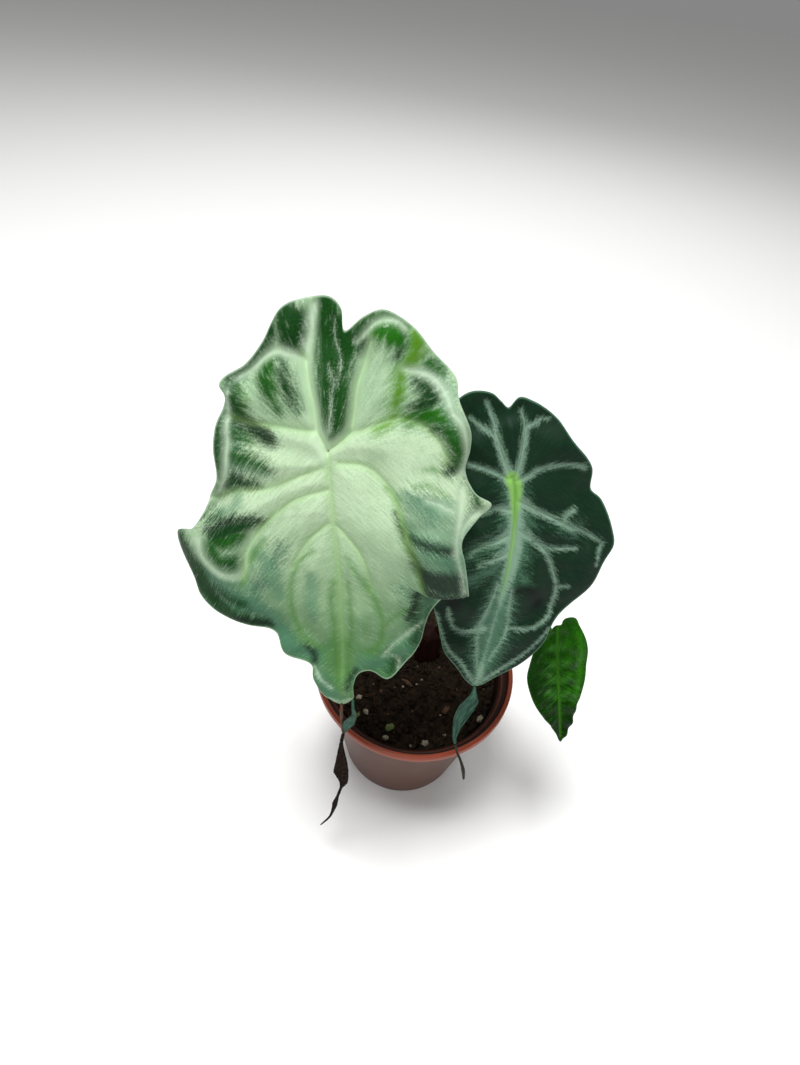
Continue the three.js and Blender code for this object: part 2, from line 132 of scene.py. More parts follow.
def store(piece: bpy.types.Object, name: str, columns: Sequence[np.ndarray]) -> None:
    """Keeps three numbers at each vertex for a material to read.

    Args:
        piece: the object that carries them.
        name: the attribute's name.
        columns: three arrays, one value per vertex in each.
    """
    attribute = piece.data.attributes.new(name, "FLOAT_VECTOR", "POINT")
    attribute.data.foreach_set("vector", np.column_stack(columns).astype(float).ravel())


def join(pieces: list[bpy.types.Object], name: str) -> bpy.types.Object:
    """Joins several objects into one of the given name."""
    deselect_all()
    for piece in pieces:
        piece.select_set(True)
    bpy.context.view_layer.objects.active = pieces[0]
    bpy.ops.object.join()
    joined = bpy.context.object
    joined.name = joined.data.name = name
    return joined


def dress(piece: bpy.types.Object, *materials: bpy.types.Material) -> None:
    """Gives a piece these materials in place of any that it has."""
    piece.data.materials.clear()
    for material in materials:
        piece.data.materials.append(material)


def register(piece: bpy.types.Object, slot: str, replaces: Sequence[str] = (), crease: float = 0) -> None:
    """Shades a finished piece smooth, hands it to the frame and reports it.

    Args:
        piece: the finished object.
        slot: the record's material slot.
        replaces: the solids that the piece stands for.
        crease: the angle in degrees from which an edge stays sharp, or 0 for none.
    """
    make_active(piece)
    if crease:
        bpy.ops.object.shade_smooth_by_angle(angle=math.radians(crease))
    else:
        bpy.ops.object.shade_smooth()
    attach(piece, "root")
    if replaces:
        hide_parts(*replaces)
    LOG.info("%s: %d faces, slot %s", piece.name, len(piece.data.polygons), slot)


# Helpers for curves


def catmull_rom(points: np.ndarray, spots: np.ndarray, closed: bool) -> np.ndarray:
    """Follows a centripetal Catmull-Rom curve through points.

    Args:
        points: rows of coordinates.
        spots: places on the curve, 0 to 1.
        closed: whether the last point leads back to the first.

    Returns:
        One row of coordinates for each spot.
    """
    count = len(points)
    spans = count if closed else count - 1
    place = np.asarray(spots, float) * spans
    start = np.floor(place).astype(int)
    if not closed:
        start = np.clip(start, 0, spans - 1)
    weight = (place - start)[:, None]
    if closed:
        p0, p1, p2, p3 = (points[(start + k) % count] for k in (-1, 0, 1, 2))
    else:
        before = 2 * points[0] - points[1]
        after = 2 * points[-1] - points[-2]
        padded = np.vstack([before, points, after])
        p0, p1, p2, p3 = (padded[start + k] for k in (0, 1, 2, 3))
    d0, d1, d2 = (
        np.maximum(np.linalg.norm(b - a, axis=1), 1e-9)[:, None] ** 0.5
        for a, b in ((p0, p1), (p1, p2), (p2, p3))
    )
    t1 = ((p1 - p0) / d0 - (p2 - p0) / (d0 + d1) + (p2 - p1) / d1) * d1
    t2 = ((p2 - p1) / d1 - (p3 - p1) / (d1 + d2) + (p3 - p2) / d2) * d1
    a = 2 * p1 - 2 * p2 + t1 + t2
    b = -3 * p1 + 3 * p2 - 2 * t1 - t2
    return ((a * weight + b) * weight + t1) * weight + p1


def smoothed(stations: Stations, steps: int = 4) -> np.ndarray:
    """Adds stations between those of a run so that it bends smoothly."""
    points = np.array(stations, float)
    spots = np.linspace(0, 1, (len(points) - 1) * steps + 1)
    return catmull_rom(points, spots, closed=False)


def smoothstep(value: np.ndarray, low: float, high: float) -> np.ndarray:
    """Rises smoothly from 0 at low to 1 at high."""
    share = np.clip((value - low) / (high - low), 0, 1)
    return share * share * (3 - 2 * share)


def nearest_on_run(x: np.ndarray, y: np.ndarray, run: np.ndarray) -> tuple[np.ndarray, np.ndarray]:
    """Measures how far points lie from a run.

    Args:
        x: the points' first coordinate.
        y: the points' second coordinate.
        run: rows of x, y and perhaps half width.

    Returns:
        The distance to the run, and how far inside its width a point is.
    """
    distance = np.full(x.shape, 1e9)
    inside = np.full(x.shape, -1e9)
    for a, b in zip(run[:-1], run[1:]):
        dx, dy = b[0] - a[0], b[1] - a[1]
        along = ((x - a[0]) * dx + (y - a[1]) * dy) / max(dx * dx + dy * dy, 1e-9)
        along = np.clip(along, 0, 1)
        gap = np.hypot(x - a[0] - along * dx, y - a[1] - along * dy)
        distance = np.minimum(distance, gap)
        if len(a) > 2:
            inside = np.maximum(inside, a[2] + along * (b[2] - a[2]) - gap)
    return distance, inside


def deepest(x: np.ndarray, y: np.ndarray, runs: Sequence[Stations]) -> np.ndarray:
    """Returns how far inside the nearest of several strokes each point is, in millimetres."""
    best = np.full(x.shape, -9.0)
    for run in runs:
        best = np.maximum(best, nearest_on_run(x, y, smoothed(run))[1])
    return best


def add_bumps(rise: np.ndarray, x: np.ndarray, y: np.ndarray, bumps: Stations) -> None:
    """Raises a relief by round bumps, each given as x, y, radius and lift."""
    for bx, by, radius, lift in bumps:
        rise += lift * np.exp(-((x - bx) ** 2 + (y - by) ** 2) / radius ** 2)


# Helpers for materials


# A Mix node's inputs, and what makes it mix colours
FACTOR, FIRST, SECOND = 0, 6, 7
COLOUR_MIX = {"out": 2, "data_type": "RGBA"}


def linear(colour: str) -> tuple[float, float, float, float]:
    """Turns an sRGB hex colour into linear values."""
    parts = [int(colour[i:i + 2], 16) / 255 for i in (1, 3, 5)]
    red, green, blue = (c / 12.92 if c <= 0.04045 else ((c + 0.055) / 1.055) ** 2.4 for c in parts)
    return (red, green, blue, 1.0)


def plug(socket: bpy.types.NodeSocket, value: Any) -> None:
    """Links an output to an input, or sets the input's own value.

    Args:
        socket: the input.
        value: the output, the plain value or a colour's hex code.
    """
    if isinstance(value, bpy.types.NodeSocket):
        socket.id_data.links.new(value, socket)
    else:
        socket.default_value = linear(value) if isinstance(value, str) else value


def add_node(tree: bpy.types.NodeTree, kind: str, inputs: dict[Any, Any] | None = None,
             **settings: Any) -> bpy.types.Node:
    """Adds one node with its settings, values and links.

    Args:
        tree: the material's node tree.
        kind: Blender's name of the node type, without ShaderNode in front.
        inputs: a value or another node's output for each named or numbered input.
        settings: values of the node's own properties.

    Returns:
        The new node.
    """
    node = tree.nodes.new("ShaderNode" + kind)
    for key, value in settings.items():
        setattr(node, key, value)
    for key, value in (inputs or {}).items():
        plug(node.inputs[key], value)
    return node


@dataclass
class Paint:
    """A material under construction, with its node tree and its surface shader."""

    name: str
    material: bpy.types.Material = field(init=False)
    tree: bpy.types.NodeTree = field(init=False)
    shader: bpy.types.Node = field(init=False)

    def __post_init__(self) -> None:
        """Starts the material with a bare Principled shader."""
        self.material = bpy.data.materials.new(self.name)
        self.material.use_nodes = True
        self.tree = self.material.node_tree
        self.tree.nodes.clear()
        self.shader = add_node(self.tree, "BsdfPrincipled")
        add_node(self.tree, "OutputMaterial", {"Surface": self.shader.outputs[0]})

    def add(self, kind: str, inputs: dict[Any, Any] | None = None, out: int | str = 0,
            **settings: Any) -> bpy.types.NodeSocket:
        """Adds a node to this material.

        Args:
            kind: Blender's name of the node type, without ShaderNode in front.
            inputs: a value or another node's output for each named or numbered input.
            out: the wanted output's name or number.
            settings: values of the node's own properties.

        Returns:
            That output of the new node.
        """
        return add_node(self.tree, kind, inputs, **settings).outputs[out]

    def parts(self, vector: bpy.types.NodeSocket) -> bpy.types.NodeOutputs:
        """Splits a vector into outputs named X, Y and Z."""
        return self.add("SeparateXYZ", {0: vector}).node.outputs

    def stored(self, name: str) -> bpy.types.NodeSocket:
        """Reads the three numbers that a mesh keeps at each vertex under a name."""
        return self.add("Attribute", out="Vector", attribute_name=name)

    def cover(self, colour: Any, *layers: tuple[Any, Any]) -> bpy.types.NodeSocket:
        """Lays tints over a colour, one after the other.

        Args:
            colour: the colour below, as a hex code or an output.
            layers: each layer's share, 0 to 1, and its tint.

        Returns:
            The covered colour.
        """
        for share, tint in layers:
            colour = self.add("Mix", {FACTOR: share, FIRST: colour, SECOND: tint}, **COLOUR_MIX)
        return colour

    def mottle(self, place: bpy.types.NodeSocket, noise_values: tuple[float, float, float],
               contrast: tuple[float, float], tones: tuple[str, str], bump: tuple[float, float],
               **inputs: Any) -> bpy.types.Material:
        """Dresses the surface in two tones of one noise, which also roughens it.

        Args:
            place: the coordinates that the noise follows.
            noise_values: the noise's scale, detail and roughness.
            contrast: the noise values at which the tones are pure.
            tones: the colours at the low and the high value.
            bump: the bump's strength and its depth in millimetres.
            inputs: more values for the shader.

        Returns:
            The finished material.
        """
        scale, detail, rough = noise_values
        grain = self.add("TexNoise", {"Vector": place, "Scale": scale, "Detail": detail, "Roughness": rough})
        share = self.add("MapRange", {"Value": grain, "From Min": contrast[0], "From Max": contrast[1]})
        return self.surface(grain, bump, Base_Color=self.cover(tones[0], (share, tones[1])), **inputs)

    def surface(self, height: bpy.types.NodeSocket | None = None,
                bump: tuple[float, float] = (0.0, 0.0), **inputs: Any) -> bpy.types.Material:
        """Sets or links the shader's inputs and roughens the surface.

        Args:
            height: the output that the bump follows, or None for a smooth surface.
            bump: the bump's strength and its depth in millimetres.
            inputs: the shader's inputs, whose spaces are written as underscores.

        Returns:
            The finished material.
        """
        if height:
            inputs["Normal"] = self.add("Bump", {
                "Height": height, "Strength": bump[0], "Distance": bump[1] * MM,
            })
        for key, value in inputs.items():
            plug(self.shader.inputs[key.replace("_", " ")], value)
        return self.material


# The leaf blades


@dataclass(frozen=True)
class Patch:
    """A stroke of green: its tone, and its stations of x, y and half width.

    The tone is 0 where it is dark, 1 where it is vivid and 2 where it is yellowish.
    """

    tone: float
    stations: Stations


@dataclass(frozen=True)
class BladeFinish:
    """Living leaf blade, grown, with a waxy skin: soft satin light over feathered colour.

    The colours of veins and patches run out along fine nerves about half a millimetre apart,
    drawn a little coarser than they are so that they show.
    """

    name: str
    ground: str
    ground_low: str
    ground_shade: str
    ground_outer: str
    soft: str
    patch: str
    patch_vivid: str
    pale: str
    core: str
    margin: str
    back: str
    back_vein: str
    fade: tuple[float, float]
    hair: float
    streak: float
    feather: float
    roughness: float
    specular: float
    ground_top: str = "#0d2716"
    patch_lime: str = "#588a1a"
    leafy: str = "#5a8c3e"
    teal_tone_and_shade: str = "#4c7a62"
    shadow: str = "#16281c"
    nerve_light: float = 0.0
    pale_strength: float = 0.9
    core_strength: float = 0.6
    notch: float = 9.0
    sides: tuple[float, float] = (9.0, 24.0)
    nerves_per_mm: float = 2.4
    clouds_per_mm: float = 0.16

    def front(self) -> bpy.types.Material:
        """Builds the face's material from the numbers that the blade's mesh carries.

        Returns:
            The finished material.
        """
        paint = Paint(self.name)
        add = paint.add
        place = paint.stored("blade_place")
        spot = paint.parts(place)
        patch, vein, wash = (paint.parts(paint.stored(name)) for name in ("patches", "veins", "washes"))

        # nerves below and above the junction, skin mottling as fine as they are, and wide clouds
        low_streak, high_streak, grain, cloud = (
            add("TexNoise", {"Vector": vector, "Scale": scale, "Detail": detail, "Roughness": rough})
            for vector, scale, detail, rough in (
                (paint.stored("nerves_low"), self.nerves_per_mm, 5.0, 0.6),
                (paint.stored("nerves_high"), self.nerves_per_mm, 5.0, 0.6),
                (place, self.nerves_per_mm, 3.0, 0.6), (place, self.clouds_per_mm, 3.0, 0.55),
            )
        )
        upper = add("MapRange", {"Value": spot["Y"], "From Min": -3.0, "From Max": 5.0})
        streak = add("Mix", {0: upper, 2: low_streak, 3: high_streak})
        grit = add("Math", {0: grain, 1: -0.5}, operation="ADD")
        wave = add("Math", {0: streak, 1: -0.5}, operation="ADD")
        wave = add("Math", {0: wave, 1: 6.0 * self.feather}, operation="MULTIPLY")
        shaken = add("Math", {0: grit, 1: 2.0, 2: wave}, operation="MULTIPLY_ADD")

        # ground: its own tone above, greener towards the tip and brushed along the nerves; darker at the
        # lower sides, partly its own tone and partly painted shade
        sink = add("MapRange", {"Value": spot["Y"], "From Min": self.fade[0], "From Max": self.fade[1]})
        sink = add("Math", {0: cloud, 1: 0.5, 2: sink}, operation="MULTIPLY_ADD")
        sink = add("Math", {0: sink, 1: 0.25}, operation="SUBTRACT", use_clamp=True)
        above = add("MapRange", {
            "Value": spot["Y"], "From Min": 0.0, "From Max": self.notch, "To Max": 0.85,
        }, interpolation_type="SMOOTHSTEP")
        beside = add("Math", {0: spot["X"]}, operation="ABSOLUTE")
        outer = add("MapRange", {"Value": beside, "From Min": self.sides[0], "From Max": self.sides[1]})
        outer = add("Math", {0: outer, 1: sink}, operation="MULTIPLY")
        brushing = add("Math", {0: grit, 1: 0.6, 2: streak}, operation="MULTIPLY_ADD")
        brushed, lit, hairs = (
            add("MapRange", {"Value": value, "From Min": low, "From Max": high, "To Max": most})
            for value, low, high, most in (
                (brushing, 0.42, 0.74, self.streak), (brushing, 0.44, 0.26, self.nerve_light),
                (streak, 0.42, 0.3, self.hair),
            )
        )
        colour = paint.cover(
            self.ground, (sink, self.ground_low), (above, self.ground_top),
            (outer, self.ground_outer), (brushed, self.ground_shade), (lit, self.pale),
        )

        # the patches' green, with single pale nerves that cross it
        lively = add("Math", {0: grit, 1: 1.2, 2: patch["Y"]}, operation="MULTIPLY_ADD")
        limy = add("Math", {0: lively, 1: 1.0}, operation="SUBTRACT")
        green = paint.cover(
            self.patch, (lively, self.patch_vivid), (limy, self.patch_lime), (hairs, self.pale))

        # each layer's distance, tint, strength, and how far the nerves shake its edge. The shadow layer is
        # painted shade; on the large blade the soft and blue-green layers are partly painted shade, and on
        # the small blade the soft layer is painted highlights.
        for value, tint, strength, shake in (
            (patch["Z"], self.soft, 0.85, 1.0), (wash["Y"], self.teal_tone_and_shade, 0.55, 0.8),
            (wash["X"], self.leafy, 0.7, 0.5), (patch["X"], green, 1.0, 0.65),
            (wash["Z"], self.shadow, 0.9, 0.6), (vein["Y"], self.pale, self.pale_strength, 0.9),
            (vein["X"], self.core, self.core_strength, 0.25),
        ):
            edge = add("Math", {0: shaken, 1: shake, 2: value}, operation="MULTIPLY_ADD")
            share = add("MapRange", {
                "Value": edge, "From Min": -1.0, "From Max": 1.0, "To Max": strength,
            }, interpolation_type="SMOOTHSTEP")
            colour = paint.cover(colour, (share, tint))

        # the blade's cartilage margin, 0.3 mm wide, shows as a thin pale line
        line = add("MapRange", {"Value": vein["Z"], "From Min": 0.45, "From Max": 0.15, "To Max": 0.55})
        rough = add("MapRange", {
            "Value": grain, "From Min": 0.3, "From Max": 0.7,
            "To Min": self.roughness - 0.05, "To Max": self.roughness + 0.08,
        })
        height = add("Math", {0: streak, 1: grain}, operation="ADD")
        return paint.surface(
            height, (0.4, 0.06), Base_Color=paint.cover(colour, (line, self.margin)), Roughness=rough,
            IOR=1.45, Specular_IOR_Level=self.specular, Subsurface_Weight=0.12,
            Subsurface_Radius=(0.8, 1.4, 0.5), Subsurface_Scale=MM,
        )

    def underside(self) -> bpy.types.Material:
        """Builds the back's plainer material, with its raised veins a little lighter."""
        paint = Paint(self.name + "_underside")
        vein = paint.parts(paint.stored("veins"))
        grain = paint.add("TexNoise", {
            "Vector": paint.stored("blade_place"), "Scale": 1.2, "Detail": 4.0, "Roughness": 0.6,
        })
        ridge = paint.add("MapRange", {"Value": vein["X"], "From Min": -1.5, "From Max": 1.0, "To Max": 0.8})
        mottled = paint.add("Math", {0: grain, 1: 0.5, 2: ridge}, operation="MULTIPLY_ADD", use_clamp=True)
        return paint.surface(
            grain, (0.4, 0.15), Base_Color=paint.cover(self.back, (mottled, self.back_vein)),
            Roughness=0.6, Specular_IOR_Level=0.3,
        )


# How far the nerves' noise moves: for each millimetre along a nerve beside the midrib and along
# one above the junction, for each radian between those above, and from one half to the other
NERVE_STRETCH = 0.17
FAN_STRETCH = 0.13
FAN_SPREAD = 11.0
HALVES_APART = 7.0


@dataclass
class Blade:
    """A leaf blade: one outline and one relief, shared with its solid, plus veins and nerves.

    Plane coordinates have x to the right, y up towards the notch and 0,0 at the junction.
    A bump is x, y, radius and rise. A rib is a run of x and y, and a stroke has a half width too.
    The shelf and the tuck both begin and are full at two values of x, and have a y and a width;
    the shelf then drops away, and the tuck's hem hangs over.
    """

    name: str
    slot: str
    node: str
    finish: BladeFinish
    junction: Triple
    hangs_towards: Triple
    faces: Triple
    centre: tuple[float, float]
    outline: Stations
    bow_across: float
    bow_along: float
    bow_middle: float
    puff: float
    puff_radius: float
    bumps: Stations
    ribs: Sequence[Stations]
    nerve_slope: float
    nerve_curve: float
    patches: Sequence[Patch] = ()
    soft: Sequence[Stations] = ()
    leafy: Sequence[Stations] = ()
    teal_tone_and_shade: Sequence[Stations] = ()
    shadow: Sequence[Stations] = ()
    pale: Sequence[Stations] = ()
    cores: Sequence[Stations] = ()
    shelf: tuple[float, float, float, float, float] | None = None
    tuck: tuple[float, float, float, float, float] | None = None
    fine_bumps: Stations = ()
    patch_grow: float = 0.35
    core_grow: float = 0.0
    patch_feather: float = 1.1
    soft_feather: float = 2.5
    pale_feather: float = 0.8
    core_feather: float = 0.6
    wash_feather: float = 1.2
    groove_depth: float = 0.28
    groove_width: float = 0.4
    swell: float = 0.25
    quilt: float = 0.0
    quilt_step: float = 4.2
    thickness: float = 0.42
    rim_width: float = 0.9
    rim_share: float = 0.35
    around: int = 440
    rings: int = 96

    def axes(self) -> tuple[np.ndarray, np.ndarray, np.ndarray]:
        """Returns the plane's own axes in the world: right, up the midrib, out of the face."""
        up = np.array(self.junction) - np.array(self.hangs_towards)
        up /= np.linalg.norm(up)
        out = np.array(self.faces) - np.dot(self.faces, up) * up
        out /= np.linalg.norm(out)
        return np.cross(up, out), up, out

    def height(self, x: np.ndarray, y: np.ndarray) -> np.ndarray:
        """Returns the relief that the blade shares with its solid.

        Args:
            x: the points' first plane coordinate.
            y: the points' second plane coordinate.

        Returns:
            How far the blade's middle stands out of its plane.
        """
        rise = -self.bow_across * (x - self.bow_middle) ** 2 - self.bow_along * y * y
        add_bumps(rise, x, y, self.bumps)
        to_rib = np.min([nearest_on_run(x, y, smoothed(rib))[0] for rib in self.ribs], axis=0)
        rise += self.puff * (1 - np.exp(-(to_rib / self.puff_radius) ** 2))
        if self.shelf:
            begins, full, at, width, drop = self.shelf
            rise -= drop * smoothstep(x, begins, full) * smoothstep(-y, -at, -at + width)
        return rise

    def fine_relief(self, x: np.ndarray, y: np.ndarray, patch: np.ndarray) -> np.ndarray:
        """Returns the low relief of grooved veins, swollen patches and quilting, in millimetres."""
        rise = self.swell * smoothstep(patch, -1.0, 1.5)
        add_bumps(rise, x, y, self.fine_bumps)
        for run in (*self.cores, *self.pale):
            away = nearest_on_run(x, y, smoothed(run))[0]
            rise -= self.groove_depth * np.exp(-(away / self.groove_width) ** 2)
        if self.quilt:
            beside = np.abs(x)
            waves = np.cos(2 * math.pi * (y + self.nerve_slope * beside) / self.quilt_step)
            # no waves on the midrib and none near the margin
            rise += self.quilt * waves * smoothstep(beside, 0.4, 2.4) * smoothstep(-beside, -6.5, -3.5)
        return rise

    def tucked(self, x: np.ndarray, y: np.ndarray) -> np.ndarray:
        """Returns y where the ruffle hangs over and the blade tucks back up under its hem."""
        if not self.tuck:
            return y
        begins, full, at, width, overhang = self.tuck
        down = (at - y) / width
        return y + overhang * smoothstep(x, begins, full) * down * np.exp((1 - down * down) / 2)

    def build(self) -> bpy.types.Object:
        """Rolls a grid round the blade's centre, shapes it and gives it its thickness.

        A leaf's free outline and relief can't be had from a primitive's operators alone, so
        the grid's vertices are moved to them.

        Returns:
            The finished piece.
        """
        piece, share, turn = rolled_grid(self.name, self.rings, self.around)
        edge = catmull_rom(np.array(self.outline, float), turn, closed=True)
        cx, cy = self.centre
        x = cx + (edge[:, 0] - cx) * share
        y = cy + (edge[:, 1] - cy) * share
        to_margin = np.hypot(edge[:, 0] - x, edge[:, 1] - y)
        patch = deepest(x, y, [p.stations for p in self.patches])
        rise = self.height(x, y) + self.fine_relief(x, y, patch)

        right, up, out = self.axes()
        points = (np.array(self.junction) + np.outer(x, right) + np.outer(self.tucked(x, y), up)
                  + np.outer(rise, out))
        set_points(piece, points * MM)
        self.mark(piece, x, y, to_margin, patch)
        close_seams(piece)
        self.face_out(piece, out)
        rim = piece.vertex_groups.new(name="thick")
        for index, weight in enumerate(self.rim_weights(piece)):
            rim.add([index], weight, "REPLACE")
        dress(piece, self.finish.front(), self.finish.underside())
        apply_modifier(piece, "SOLIDIFY", thickness=self.thickness * MM, offset=0,
                       vertex_group="thick", thickness_vertex_group=self.rim_share,
                       material_offset=1, use_rim=True)
        register(piece, self.slot, [self.node])
        return piece

    def mark(self, piece: bpy.types.Object, x: np.ndarray, y: np.ndarray,
             to_margin: np.ndarray, patch: np.ndarray) -> None:
        """Keeps at each vertex what the finish draws from.

        Args:
            piece: the blade.
            x: the vertices' first plane coordinate.
            y: the vertices' second plane coordinate.
            to_margin: their distance from the margin.
            patch: how far inside a dark patch they are.
        """
        weight = np.full(x.shape, 1e-6)
        tone = np.zeros(x.shape)
        for one in self.patches:
            inside = nearest_on_run(x, y, smoothed(one.stations))[1]
            pull = np.exp(np.clip(2.5 * inside, -12, 12))
            tone += pull * one.tone
            weight += pull
        # the shadow strokes, and parts of the soft and blue-green strokes, are painted shade; the small
        # blade's soft strokes are painted highlights
        green, soft, core, pale, *washes = (np.clip(value, -2.5, 2.5) for value in (
            (patch + self.patch_grow) / self.patch_feather,
            deepest(x, y, self.soft) / self.soft_feather,
            (deepest(x, y, self.cores) + self.core_grow) / self.core_feather,
            deepest(x, y, self.pale) / self.pale_feather,
            *(deepest(x, y, runs) / self.wash_feather for runs in (self.leafy, self.teal_tone_and_shade, self.shadow)),
        ))
        # nerves: nearly straight ones beside the midrib, and a fan above the junction
        side = np.where(x > 0, 0.0, HALVES_APART)
        wander = 0.25 * np.sin(0.5 * x + 0.3 * y) + 0.12 * np.sin(0.9 * x - 0.6 * y + 1.0)
        along = y + self.nerve_slope * np.abs(x) + self.nerve_curve * x * x + wander
        fan = FAN_SPREAD * np.arctan2(x, y + 0.5)
        for name, columns in (
            ("blade_place", (x, y, side)),
            ("patches", (green, tone / weight, soft)),
            ("veins", (core, pale, to_margin)),
            ("washes", washes),
            ("nerves_low", (along, NERVE_STRETCH * np.abs(x), side)),
            ("nerves_high", (fan, FAN_STRETCH * np.hypot(x, y), side + 3)),
        ):
            store(piece, name, columns)

    def face_out(self, piece: bpy.types.Object, out: np.ndarray) -> None:
        """Turns the sheet's faces to the side that the blade shows, judged by some of them."""
        some = piece.data.polygons[:2000]
        normal = sum(np.array(face.normal) * face.area for face in some)
        if np.dot(normal, out) < 0:
            make_active(piece)
            bpy.ops.object.mode_set(mode="EDIT")
            bpy.ops.mesh.select_all(action="SELECT")
            bpy.ops.mesh.flip_normals()
            bpy.ops.object.mode_set(mode="OBJECT")

    def rim_weights(self, piece: bpy.types.Object) -> np.ndarray:
        """Returns each vertex's thickness share, which thins towards the margin."""
        flat = np.zeros(len(piece.data.vertices) * 3)
        piece.data.attributes["veins"].data.foreach_get("vector", flat)
        return np.clip(flat.reshape(-1, 3)[:, 2] / self.rim_width, 0, 1)


PALE_FINISH = BladeFinish(
    name="leaf_blade_mint_variegated_satin", ground="#bbd2b0", ground_low="#4f7a49",
    ground_shade="#557f5a", soft="#33604a", patch="#0a2e12", patch_vivid="#1a6007", pale="#cfe4ca",
    core="#93bd6c", margin="#a9c2aa", back="#8fae8a", back_vein="#c4d6b8", fade=(-9.0, -44.0),
    ground_outer="#3f6e54", ground_top="#9fbd99", leafy="#4a7a34", teal_tone_and_shade="#4f7d60", shadow="#14241a",
    hair=0.12, streak=0.32, nerve_light=0.2, pale_strength=0.72, feather=0.5, core_strength=0.35,
    roughness=0.6, specular=0.14,
)
DARK_FINISH = BladeFinish(
    name="leaf_blade_blackish_green_satin", ground="#0d2716", ground_low="#0b2014",
    ground_shade="#173a26", soft="#4d725b", patch="#081810", patch_vivid="#123a1c", pale="#829f8b",
    core="#84b852", margin="#5f8272", shadow="#070f0a", back="#46303a", back_vein="#8a7f74",
    fade=(0.0, -50.0), ground_outer="#0c2118", hair=0.2, streak=0.5, feather=0.48,
    core_strength=0.85, roughness=0.5, specular=0.14,
)
# the small blade's soft tone is the lighter green of its painted highlights
BRIGHT_FINISH = BladeFinish(
    name="leaf_blade_young_green_glossy", ground="#174803", ground_low="#041600",
    ground_shade="#226508", soft="#378315", patch="#1f5c0c", patch_vivid="#3f9a1a", pale="#58a22e",
    core="#4f9a20", margin="#1d4a10", back="#5f9a4a", back_vein="#8fbf6a", fade=(6.0, -20.0),
    ground_outer="#164a05", ground_top="#1c5305", hair=0.1, streak=0.35, feather=0.4,
    roughness=0.32, specular=0.12,
)

